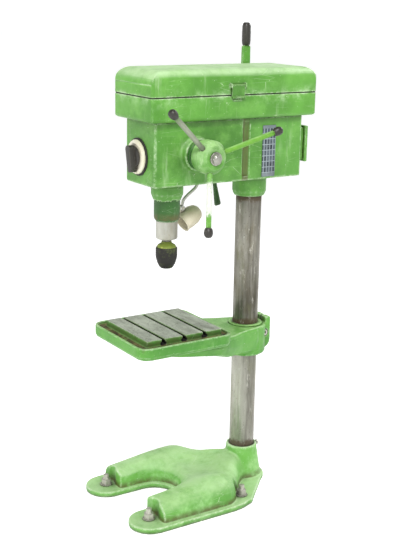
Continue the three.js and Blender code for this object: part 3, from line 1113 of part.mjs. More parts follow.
function driveParts(root) {
  piece(root, 'sleeve_bearing', bearing(SLEEVE_R, BOSS_TOP - 13, BOSS_TOP), STEEL, [0, SPINDLE_Y, 0]);
  piece(root, 'spindle_pulley', spindlePulley(), STEEL, [0, SPINDLE_Y, 0]);
  piece(root, 'drive_belt', driveBelt(), RUBBER);
  piece(root, 'motor_plate', motorPlate(), DARK);
  const axis = group(root, 0, MOTOR_Y, 0);
  piece(axis, 'motor_body', motorBody(), DARK);
  piece(axis, 'motor_shaft', rod(8, MOTOR_PLATE_Z - 48, PULLEY_Z + 3 * PULLEY_RISE + 3, TINY), STEEL);
  piece(axis, 'motor_pulley', stepPulley(8 + GAP, -1), STEEL);
}

// Tall lever welded to a shaft that carries the crank pin inside the head.
function tensionLever() {
  const shaft = alongX(join(rod(8, -LEVER_PLANE - 4, -LEDGE_X - 6.5, TINY),
    rod(12, -LEVER_PLANE + 1, -HEAD_X - GAP, TINY),
    rod(CRANK_R + 5, -HEAD_X + WALL + 1, -LEDGE_X - 6, SMALL)));
  const pin = alongX(rod(4, -LEDGE_X - 7, -LEDGE_X + 0.5, 12));
  const s = new THREE.Shape();
  s.absarc(0, 0, LEVER_W / 2 + 3, Math.PI + 0.3, 2 * Math.PI - 0.3, false);
  s.lineTo(LEVER_W / 2, LEVER_TOP - LEVER_Z - 3);
  s.lineTo(LEVER_W / 2 - 4, LEVER_TOP - LEVER_Z);
  s.lineTo(-LEVER_W / 2 + 4, LEVER_TOP - LEVER_Z);
  s.lineTo(-LEVER_W / 2, LEVER_TOP - LEVER_Z - 3);
  const blade = slabX(s, -LEVER_PLANE - 4, -LEVER_PLANE + 4, 8);
  const tang = rod(3.6, LEVER_TOP - LEVER_Z - 2, LEVER_TOP - LEVER_Z + 40, 12).translate(
    [-LEVER_PLANE, 0, 0]);
  return join(shaft, pin.translate(
    [0, CRANK_R * Math.sin(Math.PI / 6), -CRANK_R * Math.cos(Math.PI / 6)]), blade, tang);
}

function leverParts(root) {
  const axis = group(root, 0, LEVER_Y, LEVER_Z);
  piece(axis, 'belt_tension_lever', tensionLever(), PAINT);
  const z = LEVER_TOP - LEVER_Z + GAP;
  const grip = turned([[3.6 + GAP, z], [GRIP_R - 3, z], [GRIP_R - 1, z + 3], [GRIP_R, z + 12],
    [GRIP_R, z + GRIP_L - 10],
    [GRIP_R - 2, z + GRIP_L - 3], [GRIP_R - 5, z + GRIP_L], [0, z + GRIP_L], [0, z + 41],
    [3.6 + GAP, z + 41]], SMALL);
  piece(axis, 'lever_grip', grip, DARK, [-LEVER_PLANE, 0, 0]);
}

// ---------------------------------------------------------------- work lamp
const SHADE_DIP = 30;
const LAMP_PIVOT_Y = -50;
const LAMP_PIVOT_Z = -80;

function lampArm() {
  const arm = bar([[0, 0, -4], [0, 0, -16], [0, -6, -28], [0, -30, -46], [0, -45, -60],
    [0, LAMP_PIVOT_Y, LAMP_PIVOT_Z + 4]], 4.5, 12, 4);
  const top = join(rod(4, -5, WALL + 6, PIN), rod(11, -6, -GAP, TINY));
  const eye = alongX(rod(7, -8, 8, TINY)).translate([0, LAMP_PIVOT_Y, LAMP_PIVOT_Z]);
  const slot = box(-3.3, 3.3, LAMP_PIVOT_Y - 9, LAMP_PIVOT_Y + 9, LAMP_PIVOT_Z - 9, LAMP_PIVOT_Z + 8);
  return join(arm, top, eye).subtract(slot);
}

// Bell shade opening along its axis, with a lug that stands in the fork of the arm.
function lampShade() {
  const bell = turned([[0, -34], [13, -33], [21, -26], [26, -12], [27, 4], [26, 24], [27.5, 26],
    [27.5, 28], [25.5, 28], [24, 24], [25, 4], [24, -11], [19.5, -24], [12, -30.8], [0, -31.8]], MID);
  const lug = join(alongX(rod(6, -3, 3, TINY)), box(-3, 3, -4, 4, -12, 0), alongX(rod(2, -9, 9, 12)));
  const dip = 90 + SHADE_DIP;
  const seat = SHADE_OFFSET;
  return join(bell.rotate([dip, 0, 0]).translate([0, seat[1], seat[2]]), lug);
}

const SHADE_OFFSET = [0, 24.9, -27.2];

function lampParts(root) {
  const top = group(root, LAMP_X, LAMP_Y, HEAD_Z);
  piece(top, 'lamp_arm', lampArm().subtract(alongX(rod(2 + GAP, -10, 10, 12)).translate(
    [0, LAMP_PIVOT_Y, LAMP_PIVOT_Z])), STEEL);
  const pivot = group(top, 0, LAMP_PIVOT_Y, LAMP_PIVOT_Z);
  piece(pivot, 'lamp_shade', lampShade(), IVORY);
  const bulb = turned([[0, -31], [9, -31], [9, -14], [13, -6], [15, 3], [13, 11], [8, 16], [0, 18]], TINY);
  piece(pivot, 'lamp_bulb', bulb.rotate([90 + SHADE_DIP, 0, 0]).translate(SHADE_OFFSET), IVORY);
}

base(machine);
tableParts(machine);
headBody(machine);
switchParts(machine);
terminalParts(machine);
spindleParts(machine);
feedParts(machine);
guardParts(machine);
driveParts(machine);
leverParts(machine);
lampParts(machine);

export default machine;
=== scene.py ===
import json
import math
import bmesh
import bpy
from mathutils import Matrix, Vector


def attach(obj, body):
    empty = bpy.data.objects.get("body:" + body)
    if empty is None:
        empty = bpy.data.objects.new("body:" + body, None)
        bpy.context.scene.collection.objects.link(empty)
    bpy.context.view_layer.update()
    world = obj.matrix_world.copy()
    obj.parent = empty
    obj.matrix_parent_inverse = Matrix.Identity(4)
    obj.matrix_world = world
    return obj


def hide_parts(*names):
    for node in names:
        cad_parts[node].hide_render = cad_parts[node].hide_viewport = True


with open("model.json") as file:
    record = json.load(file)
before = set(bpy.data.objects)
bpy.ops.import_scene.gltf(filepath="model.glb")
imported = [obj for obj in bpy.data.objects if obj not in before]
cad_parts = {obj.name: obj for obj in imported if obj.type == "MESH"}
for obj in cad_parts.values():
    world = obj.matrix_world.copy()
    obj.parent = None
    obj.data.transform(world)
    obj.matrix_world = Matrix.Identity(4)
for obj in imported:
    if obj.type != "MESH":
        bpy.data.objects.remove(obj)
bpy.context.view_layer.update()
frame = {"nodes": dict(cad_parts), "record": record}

NODES = frame["nodes"]
BODY_OF = {node: body for body, nodes in frame["record"]["behaviour"]["bodies"].items() for node in nodes}

# ------------------------------------------------------------------ places on the machine, in metres
X_AXIS, Z_AXIS = 0, 2
COLUMN = (0.0, 0.0)                         # axis of the column, x and y
SPINDLE = (0.0, -0.26)                      # axis of the spindle, x and y
FEED = (-0.221, 0.966)                      # axis of the capstan, y and z
QUILL_ROUND_TOP = 0.86                      # the rack's teeth begin above this
FLANGE_TOP, SLEEVE_SHADE_LINE = 0.016, 0.791      # where soil gathers on the base, and the painted shadow line at the bottom of the nose sleeve
HEAD_GROOVE = (-0.077, -0.055, 0.066)       # y from, y to and least x
COLUMN_RINGS = (0.112, 0.478, 0.828)        # where the column enters base, table and head
PLATE_X, PLATE_FRONT, PLATE_BACK = 0.109, -0.381, -0.152
PLATE_TOP, TROUGH_FLOOR = 0.5035, 0.486
HANDLED = (0.835, 0.905)                    # stretch of the lowest spoke that hands have worn
CHART_LOW, CHART_HIGH = 0.900, 1.020
CHART_FIELD, CHART_ROW, CHART_LINE = 0.0148, 0.0092, 0.0012

# ------------------------------------------------------------------ camera, floor and light
CAMERA_PLACE = Vector((2.3338, -1.6789, 1.3642))
CAMERA_TURN, CAMERA_DIP, CAMERA_ROLL = math.radians(56.83), math.radians(14.94), math.radians(1.1)
CAMERA_LENS = 69.75


def make_camera():
    """Camera at the viewing angle of the reference: from the right front, a little above the guard."""
    ahead = Vector((-math.sin(CAMERA_TURN) * math.cos(CAMERA_DIP),
                    math.cos(CAMERA_TURN) * math.cos(CAMERA_DIP), -math.sin(CAMERA_DIP)))
    right = Vector((math.cos(CAMERA_TURN), math.sin(CAMERA_TURN), 0))
    up = right.cross(ahead)
    x = right * math.cos(CAMERA_ROLL) + up * math.sin(CAMERA_ROLL)
    y = up * math.cos(CAMERA_ROLL) - right * math.sin(CAMERA_ROLL)
    data = bpy.data.cameras.new("camera")
    data.lens, data.sensor_width = CAMERA_LENS, 36
    data.clip_end = 50
    camera = bpy.data.objects.new("camera", data)
    camera.matrix_world = Matrix.Translation(CAMERA_PLACE) @ Matrix((x, y, -ahead)).transposed().to_4x4()
    bpy.context.scene.collection.objects.link(camera)
    bpy.context.scene.camera = camera


def make_floor():
    """Pale floor, wide enough to fill the view behind the machine."""
    bpy.ops.mesh.primitive_plane_add(size=60, location=(0, 0, -0.0005))
    floor = bpy.context.object
    floor.name = "floor"
    paint_floor = plain("floor_paint", (0.86, 0.86, 0.86), 0.9)
    shader = paint_floor.node_tree.nodes["Principled BSDF"]
    shader.inputs["Emission Color"].default_value = (1, 1, 1, 1)
    shader.inputs["Emission Strength"].default_value = 0.62
    floor.data.materials.append(paint_floor)


def area_light(name, place, aim, size, power):
    data = bpy.data.lights.new(name, "AREA")
    data.shape, data.size, data.energy = "DISK", size, power
    lamp = bpy.data.objects.new(name, data)
    lamp.location = place
    lamp.rotation_mode = "QUATERNION"
    lamp.rotation_quaternion = (Vector(aim) - Vector(place)).to_track_quat("-Z", "Y")
    bpy.context.scene.collection.objects.link(lamp)


def make_lights():
    area_light("key", (2.2, -1.6, 3.4), (0, -0.15, 0.7), 0.8, 104)
    area_light("fill", (-1.2, -3.6, 1.6), (0, -0.1, 0.6), 2.4, 15)
    area_light("rim", (-0.6, 2.6, 2.6), (0, -0.1, 0.8), 1.2, 42)
    world = bpy.data.worlds.new("studio")
    world.use_nodes = True
    tree = world.node_tree
    sky = tree.nodes["Background"]
    coord = tree.nodes.new("ShaderNodeTexCoord")
    split = tree.nodes.new("ShaderNodeSeparateXYZ")
    fade = tree.nodes.new("ShaderNodeMapRange")
    fade.inputs["From Min"].default_value, fade.inputs["From Max"].default_value = 0.02, 0.6
    fade.inputs["To Min"].default_value, fade.inputs["To Max"].default_value = 1.4, 0.3
    tree.links.new(coord.outputs["Generated"], split.inputs[0])
    tree.links.new(split.outputs["Z"], fade.inputs["Value"])
    tree.links.new(fade.outputs["Result"], sky.inputs["Strength"])
    sky.inputs["Color"].default_value = (0.99, 1.0, 1.0, 1)
    bpy.context.scene.world = world
    bpy.context.scene.view_settings.view_transform = "Standard"


# ------------------------------------------------------------------ material building blocks
def linear(r, g, b):
    """Display colour, 0 to 255, as scene-linear RGBA."""
    def one(v):
        v /= 255
        return v / 12.92 if v <= 0.04045 else ((v + 0.055) / 1.055) ** 2.4
    return one(r), one(g), one(b), 1


class Paint:
    """Small wrapper that strings shader nodes together for one material."""

    def __init__(self, material):
        self.material = material
        self.tree = material.node_tree
        self.shader = self.tree.nodes["Principled BSDF"]
        self.coord = self.node("ShaderNodeTexCoord").outputs["Object"]
        self.normal = self.node("ShaderNodeTexCoord").outputs["Normal"]
        self.height = self.laid("Normal")

    @classmethod
    def new(cls, name, roughness=0.5):
        """Starts a fresh material; a material that is already finished can be wrapped again to add to it."""
        material = bpy.data.materials.new(name)
        material.use_nodes = True
        p = cls(material)
        p.shader.inputs["Metallic"].default_value = 0.0
        p.shader.inputs["Roughness"].default_value = roughness
        return p

    def laid(self, socket):
        """What already feeds a socket of the shader, or None."""
        links = self.shader.inputs[socket].links
        return links[0].from_socket if links else None

    def node(self, kind, **settings):
        made = self.tree.nodes.new(kind)
        for key, value in settings.items():
            setattr(made, key, value)
        return made

    def feed(self, socket, value):
        if isinstance(value, bpy.types.NodeSocket):
            self.tree.links.new(value, socket)
        else:
            socket.default_value = value

    def stretched(self, scale):
        mapping = self.node("ShaderNodeMapping")
        self.feed(mapping.inputs["Vector"], self.coord)
        mapping.inputs["Scale"].default_value = scale
        return mapping.outputs["Vector"]

    def noise(self, scale, detail=4, rough=0.55, stretch=None, shift=0.0):
        made = self.node("ShaderNodeTexNoise", noise_dimensions="4D")
        self.feed(made.inputs["Vector"], self.stretched(stretch) if stretch else self.coord)
        made.inputs["W"].default_value = shift
        made.inputs["Scale"].default_value = scale
        made.inputs["Detail"].default_value = detail
        made.inputs["Roughness"].default_value = rough
        return made.outputs["Fac"]

    def cells(self, scale, stretch):
        """Distance to the borders of a pattern of random cells."""
        made = self.node("ShaderNodeTexVoronoi", feature="DISTANCE_TO_EDGE")
        self.feed(made.inputs["Vector"], self.stretched(stretch))
        made.inputs["Scale"].default_value = scale
        return made.outputs["Distance"]

    def band(self, value, low, high):
        """0 below low and 1 above high, or the other way round where low is the greater."""
        made = self.node("ShaderNodeMapRange", clamp=True, interpolation_type="SMOOTHSTEP")
        self.feed(made.inputs["Value"], value)
        flip = low > high
        made.inputs["From Min"].default_value = min(low, high)
        made.inputs["From Max"].default_value = max(low, high)
        made.inputs["To Min"].default_value = 1 if flip else 0
        made.inputs["To Max"].default_value = 0 if flip else 1
        return made.outputs["Result"]

    def math(self, kind, a, b=0.0):
        made = self.node("ShaderNodeMath", operation=kind)
        self.feed(made.inputs[0], a)
        self.feed(made.inputs[1], b)
        return made.outputs[0]

    def times(self, a, b):
        return self.math("MULTIPLY", a, b)

    def plus(self, a, b):
        return self.math("ADD", a, b)

    def minus(self, a, b):
        return self.math("SUBTRACT", a, b)

    def mix(self, amount, a, b):
        made = self.node("ShaderNodeMix", data_type="RGBA")
        self.feed(made.inputs["Factor"], amount)
        self.feed(made.inputs["A"], a)
        self.feed(made.inputs["B"], b)
        return made.outputs["Result"]

    def axis(self, source, which):
        made = self.node("ShaderNodeSeparateXYZ")
        self.feed(made.inputs[0], source)
        return made.outputs[which]

    def edges(self, radius, skin=False):
        """1 on edges within radius, 0 on flat ground; a relaxed skin also shows its convex crests."""
        rolled = self.node("ShaderNodeBevel", samples=6)
        rolled.inputs["Radius"].default_value = radius
        true = self.node("ShaderNodeNewGeometry").outputs["Normal"]
        dot = self.node("ShaderNodeVectorMath", operation="DOT_PRODUCT")
        self.feed(dot.inputs[0], rolled.outputs["Normal"])
        self.feed(dot.inputs[1], true)
        rounded = self.band(dot.outputs["Value"], 0.992, 0.93)
        if not skin:
            return rounded
        keen = self.band(self.node("ShaderNodeNewGeometry").outputs["Pointiness"], 0.505, 0.535)
        return self.math("MAXIMUM", rounded, keen)

    def crevice(self, distance):
        """1 deep in corners and under ledges, 0 in the open: the occlusion mask that paints shade into a
        colour.
        """
        made = self.node("ShaderNodeAmbientOcclusion", samples=6)
        made.inputs["Distance"].default_value = distance
        return self.band(made.outputs["AO"], 0.92, 0.4)

    def relief(self, value, strength, distance=0.001):
        bump = self.node("ShaderNodeBump")
        bump.inputs["Strength"].default_value = strength
        bump.inputs["Distance"].default_value = distance
        self.feed(bump.inputs["Height"], value)
        if self.height is not None:
            self.feed(bump.inputs["Normal"], self.height)
        self.height = bump.outputs["Normal"]

    def finish(self, colour, roughness=None, metallic=None):
        self.feed(self.shader.inputs["Base Color"], colour)
        if roughness is not None:
            self.feed(self.shader.inputs["Roughness"], roughness)
        if metallic is not None:
            self.feed(self.shader.inputs["Metallic"], metallic)
        if self.height is not None:
            self.feed(self.shader.inputs["Normal"], self.height)
        return self.material


def plain(name, colour, roughness):
    paint = Paint.new(name, roughness)
    drift = paint.noise(3, 3)
    dark = tuple(c * 0.97 for c in colour) + (1,)
    return paint.finish(paint.mix(drift, dark, (*colour, 1)))


# ------------------------------------------------------------------ finishes
GREEN_DEEP = linear(62, 118, 30)
GREEN_MID = linear(88, 154, 48)
GREEN_PALE = linear(122, 182, 82)
CHALK = linear(204, 222, 184)
DUST = linear(168, 212, 136)
PRIMER = linear(206, 224, 190)
# Pale green of the painted highlight on shoulders and rounded edges.
HIGHLIGHT_PALE = linear(196, 224, 178)
# Brown-olive of soil along the base's walls, also used as painted shadow at the bottom of the nose sleeve.
SOIL_AND_SHADE = linear(84, 78, 34)
GROOVE_RUST = linear(78, 74, 30)
# Dark brown for grime spots, also used as painted shade in corners and crevices.
GRIME_AND_SHADE = linear(40, 34, 18)


def enamel(name, light=0.5, chalk=0.6, dirt_and_shade=0.7, deep=GREEN_DEEP, mid=GREEN_MID, pale=GREEN_PALE, edge=0.004,
           skin=False, groove=None, soil_and_shade_foot=None, painted_highlight=0.0):
    """Old brushed green enamel: mottled, chalky on edges and tops, scratched, with grime spots and painted
    shade in the corners.

    skin says that the piece is a relaxed casting. The soil line height places a dark band along the bottom of
    the walls: soil on the base, painted shadow on the nose sleeve; groove is the place of a rusty groove as
    (y from, y to, least x). The highlight strength sets a painted highlight on up-facing shoulders and broad
    edges.
    """
    p = Paint.new(name)
    body = p.mix(p.band(p.noise(5, 5, 0.6), 0.35, 0.65), deep, mid)
    body = p.mix(p.times(p.band(p.noise(17, 6, 0.65, shift=3), 0.42, 0.68), light), body, pale)
    facing_up = p.band(p.axis(p.normal, "Z"), 0.35, 0.95)
    dust = p.times(facing_up, p.band(p.noise(26, 6, 0.7, shift=1), 0.25, 0.62))
    body = p.mix(p.times(dust, 0.42 + 0.5 * chalk), body, DUST)
    # Painted highlight: pale colour laid on up-facing shoulders and broad rounded edges, where the key light
    # would catch them.
    if painted_highlight:
        lit_shoulders = p.times(p.band(p.axis(p.normal, "Z"), 0.15, 0.8),
                       p.band(p.noise(11, 6, 0.75, shift=16), 0.2, 0.7))
        lit_edges = p.times(p.edges(0.009), p.band(p.noise(21, 6, 0.75, shift=17), 0.44, 0.72))
        body = p.mix(p.times(p.math("MAXIMUM", lit_shoulders, lit_edges), painted_highlight), body, HIGHLIGHT_PALE)
    shade = p.times(p.band(p.axis(p.normal, "Z"), 0.3, -0.2),
                    p.band(p.noise(9, 5, 0.7, shift=15), 0.3, 0.66))
    body = p.mix(p.times(shade, 0.34), body, deep)
    streak = p.band(p.noise(30, 5, 0.7, stretch=(1, 1, 0.16), shift=7), 0.56, 0.74)
    body = p.mix(p.times(streak, 0.28 * chalk + 0.1), body, CHALK)
    flecks = p.band(p.noise(190, 3, 0.6, shift=5), 0.66, 0.72)
    body = p.mix(p.times(flecks, 0.4 + 0.4 * chalk), body, CHALK)
    scratch = p.band(p.cells(22, stretch=(1.0, 0.35, 2.4)), 0.012, 0.0)
    scratch = p.times(scratch, p.band(p.noise(12, 3, shift=9), 0.5, 0.62))
    body = p.mix(p.times(scratch, 0.5 * chalk + 0.1), body, CHALK)
    spots = p.band(p.noise(75, 4, 0.7, shift=11), 0.68, 0.75)
    body = p.mix(p.times(spots, 0.55 * dirt_and_shade), body, GRIME_AND_SHADE)
    # Painted shade: an occlusion mask darkens corners and the ground under ledges toward dark brown, broken
    # into patches by noise.
    corner_shade = p.times(p.crevice(0.022), p.band(p.noise(45, 5, 0.7, shift=2), 0.2, 0.55))
    body = p.mix(p.times(corner_shade, dirt_and_shade), body, GRIME_AND_SHADE)
    # A dark band along the bottom of the walls: real soil on the base, painted shadow on the nose sleeve.
    if soil_and_shade_foot:
        z = p.axis(p.coord, "Z")
        soil_and_shade = p.times(p.band(z, soil_and_shade_foot - 0.003, soil_and_shade_foot + 0.001), p.band(z, soil_and_shade_foot + 0.022, soil_and_shade_foot + 0.004))
        soil_and_shade = p.times(soil_and_shade, p.band(p.axis(p.normal, "Z"), 0.85, 0.5))
        soil_and_shade = p.times(soil_and_shade, p.band(p.noise(38, 6, 0.75, shift=14), 0.34, 0.56))
        body = p.mix(p.times(soil_and_shade, 0.8), body, SOIL_AND_SHADE)
    if groove:
        y_from, y_to, x_least = groove
        y = p.axis(p.coord, "Y")
        run = p.times(p.band(y, y_from - 0.002, y_from + 0.003), p.band(y, y_to + 0.001, y_to - 0.005))
        run = p.times(run, p.band(p.axis(p.coord, "X"), x_least, x_least + 0.004))
        run = p.times(run, p.band(p.noise(24, 5, 0.7, stretch=(1, 1, 0.3), shift=13), 0.2, 0.6))
        body = p.mix(p.times(run, 0.9), body, GROOVE_RUST)
    rub = p.times(p.edges(edge, skin), p.band(p.noise(62, 6, 0.8, shift=4), 0.4, 0.64))
    rub = p.times(rub, p.minus(1.0, p.times(corner_shade, 0.8)))
    body = p.mix(p.times(rub, min(1.0, 0.45 + chalk * 0.5)), body, PRIMER)
    rough = p.plus(0.36, p.times(p.noise(38, 5, 0.6, shift=6), 0.28))
    rough = p.plus(rough, p.times(rub, 0.15))
    p.relief(p.noise(70, 5, 0.6, shift=8), 0.35, 0.0012)
    p.relief(p.noise(420, 3, 0.6, shift=12), 0.25, 0.0004)
    p.relief(p.minus(1.0, p.plus(scratch, flecks)), 0.3, 0.0004)
    return p.finish(body, rough)


def worn_spoke(name, low, high):
    """Green enamel handled down to pale primer between two heights."""
    material = enamel(name, 0.5, 0.5, 0.5, mid=linear(112, 176, 62), edge=0.0008)
    p = Paint(material)
    z = p.axis(p.coord, "Z")
    green = p.laid("Base Color")
    rough = p.laid("Roughness")
    ragged = p.times(p.minus(p.noise(60, 5, 0.7, shift=31), 0.5), 0.06)
    z = p.plus(z, ragged)
    worn = p.times(p.band(z, low - 0.006, low + 0.006), p.band(z, high + 0.012, high - 0.006))
    primer = p.mix(p.noise(70, 6, 0.7, shift=32), linear(188, 196, 178), linear(232, 234, 226))
    primer = p.mix(p.band(p.noise(130, 4, 0.75, shift=33), 0.6, 0.7), primer, linear(96, 124, 66))
    return p.finish(p.mix(worn, green, primer), rough)


def bare_steel(name, dark, light, stain, stain_amount=0.5, rough=0.38, metal=0.75, lay=(1, 1, 12),
               edge=0.0015):
    """Turned or ground steel with tool lines along `lay`, drifting tone and rust-brown stains."""
    p = Paint.new(name)
    lines = p.noise(60, 4, 0.7, stretch=lay)
    tone = p.mix(p.band(p.noise(14, 5, 0.6, stretch=(1, 1, 0.35), shift=1), 0.32, 0.68), dark, light)
    tone = p.mix(p.times(lines, 0.35), tone, light)
    patch = p.band(p.noise(9, 6, 0.7, stretch=(1.6, 1.6, 0.55), shift=3), 0.5, 0.68)
    tone = p.mix(p.times(patch, stain_amount), tone, stain)
    dots = p.band(p.noise(130, 4, 0.7, shift=5), 0.62, 0.7)
    tone = p.mix(p.times(dots, 0.5), tone, linear(58, 50, 36))
    # Painted shade: the occlusion mask darkens corners and the ground under ledges.
    corner_shade = p.crevice(0.015)
    tone = p.mix(p.times(corner_shade, 0.75), tone, GRIME_AND_SHADE)
    if edge:
        tone = p.mix(p.times(p.edges(edge), 0.5), tone, linear(214, 212, 202))
    dull = p.plus(rough, p.times(patch, 0.25))
    dull = p.plus(dull, p.times(lines, 0.12))
    p.relief(lines, 0.12, 0.0003)
    p.relief(p.noise(160, 4, 0.6, shift=7), 0.12, 0.0004)
    return p.finish(tone, dull, p.minus(metal, p.times(patch, 0.45)))


def column_finish(name, rings):
    """Ground column, scuffed and oily, with rust where it enters each casting."""
    material = bare_steel(name, linear(72, 68, 56), linear(158, 156, 146), linear(96, 86, 54), 0.6, 0.34,
                          0.75, (1, 1, 0.12), 0.0)
    p = Paint(material)
    tone = p.laid("Base Color")
    rough = p.laid("Roughness")
    metal = p.laid("Metallic")
    ragged = p.times(p.minus(p.noise(45, 6, 0.75, shift=41), 0.5), 0.05)
    z = p.plus(p.axis(p.coord, "Z"), ragged)
    drawn = p.band(p.noise(26, 5, 0.7, stretch=(1, 1, 0.04), shift=45), 0.46, 0.66)
    tone = p.mix(p.times(drawn, 0.75), tone, linear(50, 46, 34))
    # Painted sheen: the lower part of the column is lightened in streaks, as if catching light.
    painted_sheen = p.band(p.axis(p.coord, "Z"), 0.5, 0.3)
    painted_sheen = p.times(painted_sheen, p.band(p.noise(16, 5, 0.7, stretch=(1, 1, 0.1), shift=46), 0.3, 0.55))
    tone = p.mix(p.times(painted_sheen, 0.5), tone, linear(204, 204, 192))
    rust = 0.0
    for ring in rings:
        near = p.math("ABSOLUTE", p.minus(z, ring))
        rust = p.math("MAXIMUM", rust, p.band(near, 0.016, 0.003))
    tone = p.mix(p.times(rust, 0.85), tone, linear(70, 52, 28))
    olive = p.band(p.noise(7, 5, 0.7, stretch=(2.2, 2.2, 0.7), shift=42), 0.5, 0.7)
    tone = p.mix(p.times(olive, 0.45), tone, linear(112, 118, 74))
    scuffs = p.band(p.noise(40, 5, 0.75, stretch=(1.6, 1.6, 0.5), shift=43), 0.56, 0.68)
    tone = p.mix(p.times(scuffs, 0.5), tone, linear(206, 204, 194))
    pits = p.band(p.noise(210, 4, 0.75, shift=44), 0.6, 0.66)
    tone = p.mix(p.times(pits, 0.6), tone, linear(46, 40, 28))
    metal = p.times(metal, p.minus(1.0, p.times(rust, 0.8)))
    return p.finish(tone, p.plus(rough, p.times(rust, 0.3)), metal)


def black_iron(name, base=(46, 43, 38), worn=(120, 114, 98), rough=0.45, metal=0.4, moss=0.0):
    """Blackened or painted iron and phenolic, rubbed grey on edges and chipped, with an optional mossy green
    tint.
    """
    p = Paint.new(name)
    tone = p.mix(p.noise(30, 5, 0.65), linear(*base), linear(*[min(255, c * 1.5) for c in base]))
    rub = p.times(p.edges(0.0022), p.band(p.noise(120, 4, 0.7, shift=2), 0.35, 0.58))
    tone = p.mix(rub, tone, linear(*worn))
    chips = p.band(p.noise(90, 4, 0.75, shift=3), 0.6, 0.68)
    tone = p.mix(p.times(chips, 0.55), tone, linear(*worn))
    green = p.band(p.noise(36, 4, 0.7, shift=4), 0.5, 0.66)
    tone = p.mix(p.times(green, moss), tone, linear(126, 146, 62))
    p.relief(p.noise(150, 5, 0.6, shift=5), 0.35, 0.0006)
    gloss = p.plus(rough, p.times(p.noise(60, 4, shift=6), 0.2))
    return p.finish(tone, gloss, metal)


def moulded(name, base, dark, rough=0.4):
    """Yellowed plastic or cream enamel: drifting tone, painted shade towards the corners, fine scuffs."""
    p = Paint.new(name)
    tone = p.mix(p.band(p.noise(22, 5, 0.6), 0.35, 0.7), linear(*base), linear(*dark))
    # Painted shade: the occlusion mask darkens corners towards brown.
    tone = p.mix(p.times(p.crevice(0.012), 0.7), tone, linear(70, 62, 44))
    scuff = p.band(p.noise(160, 3, 0.7, shift=2), 0.62, 0.72)
    tone = p.mix(p.times(scuff, 0.4), tone, linear(96, 88, 66))
    p.relief(p.noise(240, 3, 0.6, shift=3), 0.12, 0.0003)
    return p.finish(tone, p.plus(rough, p.times(p.noise(70, 4, shift=4), 0.2)))


def rubber(name):
    p = Paint.new(name, 0.85)
    tone = p.mix(p.noise(40, 5, 0.65), linear(22, 22, 20), linear(52, 50, 44))
    p.relief(p.noise(300, 3, 0.6), 0.3, 0.0003)
    return p.finish(tone, p.plus(0.7, p.times(p.noise(80, 3), 0.2)))


def frosted(name):
    p = Paint.new(name, 0.35)
    p.shader.inputs["Transmission Weight"].default_value = 0.35
    tone = p.mix(p.noise(30, 4), linear(244, 240, 226), linear(226, 220, 200))
    p.relief(p.noise(500, 2), 0.1, 0.0002)
    return p.finish(tone, p.plus(0.25, p.times(p.noise(90, 3), 0.2)))


def table_finish(name):
    """Casting with a machined, chipped plate top and grimy trough, green enamel elsewhere."""
    material = enamel(name, 0.35, 0.3, 0.9, deep=linear(62, 128, 34), mid=linear(88, 156, 54), skin=True)
    p = Paint(material)
    green = p.laid("Base Color")
    rough = p.laid("Roughness")
    steel = p.mix(p.band(p.noise(40, 6, 0.7, stretch=(0.35, 1, 1), shift=20), 0.3, 0.7),
                  linear(124, 130, 114), linear(182, 190, 172))
    steel = p.mix(p.times(p.band(p.noise(13, 5, 0.7, shift=21), 0.45, 0.7), 0.5), steel,
                  linear(190, 198, 178))
    steel = p.mix(p.band(p.noise(150, 4, 0.75, shift=22), 0.56, 0.66), steel, linear(78, 78, 60))
    steel = p.mix(p.times(p.edges(0.0042), 0.9), steel, linear(208, 214, 192))
    z = p.axis(p.coord, "Z")
    top = p.times(p.band(z, PLATE_TOP - 0.003, PLATE_TOP - 0.0012), p.band(p.axis(p.normal, "Z"), 0.6, 0.85))
    sludge = p.mix(p.band(p.noise(60, 6, 0.7, shift=23), 0.35, 0.65), linear(40, 34, 20),
                   linear(118, 112, 66))
    low = p.times(p.band(z, TROUGH_FLOOR + 0.006, TROUGH_FLOOR + 0.002),
                  p.band(p.axis(p.normal, "Z"), 0.55, 0.85))
    x = p.math("ABSOLUTE", p.axis(p.coord, "X"))
    y = p.axis(p.coord, "Y")
    inside = p.times(p.band(x, PLATE_X + 0.024, PLATE_X + 0.018),
                     p.times(p.band(y, PLATE_FRONT - 0.026, PLATE_FRONT - 0.02),
                             p.band(y, PLATE_BACK + 0.02, PLATE_BACK + 0.014)))
    above = p.band(z, TROUGH_FLOOR - 0.004, TROUGH_FLOOR - 0.002)
    trough = p.times(p.times(low, inside), above)
    trough = p.times(trough, p.band(p.noise(30, 5, 0.7, shift=24), 0.25, 0.5))
    # Painted shade: near black on the plate's sides and inside its slots, below the machined top.
    slot_shade = p.times(p.band(x, PLATE_X + 0.0005, PLATE_X - 0.0015),
                      p.times(p.band(y, PLATE_FRONT - 0.0005, PLATE_FRONT + 0.002),
                              p.band(y, PLATE_BACK + 0.0005, PLATE_BACK - 0.002)))
    slot_shade = p.times(slot_shade, p.band(z, PLATE_TOP - 0.0015, PLATE_TOP - 0.004))
    slot_shade = p.times(slot_shade, p.band(z, TROUGH_FLOOR - 0.001, TROUGH_FLOOR))
    skirts = p.times(inside, p.times(above, p.band(z, PLATE_TOP + 0.001, PLATE_TOP - 0.001)))
    skirts = p.times(skirts, p.band(p.noise(55, 5, 0.7, shift=25), 0.3, 0.62))
    colour = p.mix(p.times(skirts, 0.55), green, linear(84, 88, 44))
    colour = p.mix(trough, colour, sludge)
    colour = p.mix(slot_shade, colour, linear(20, 20, 14))
    colour = p.mix(top, colour, steel)
    p.feed(p.shader.inputs["Metallic"], p.times(top, 0.35))
    return p.finish(colour, p.plus(rough, p.times(trough, 0.3)))


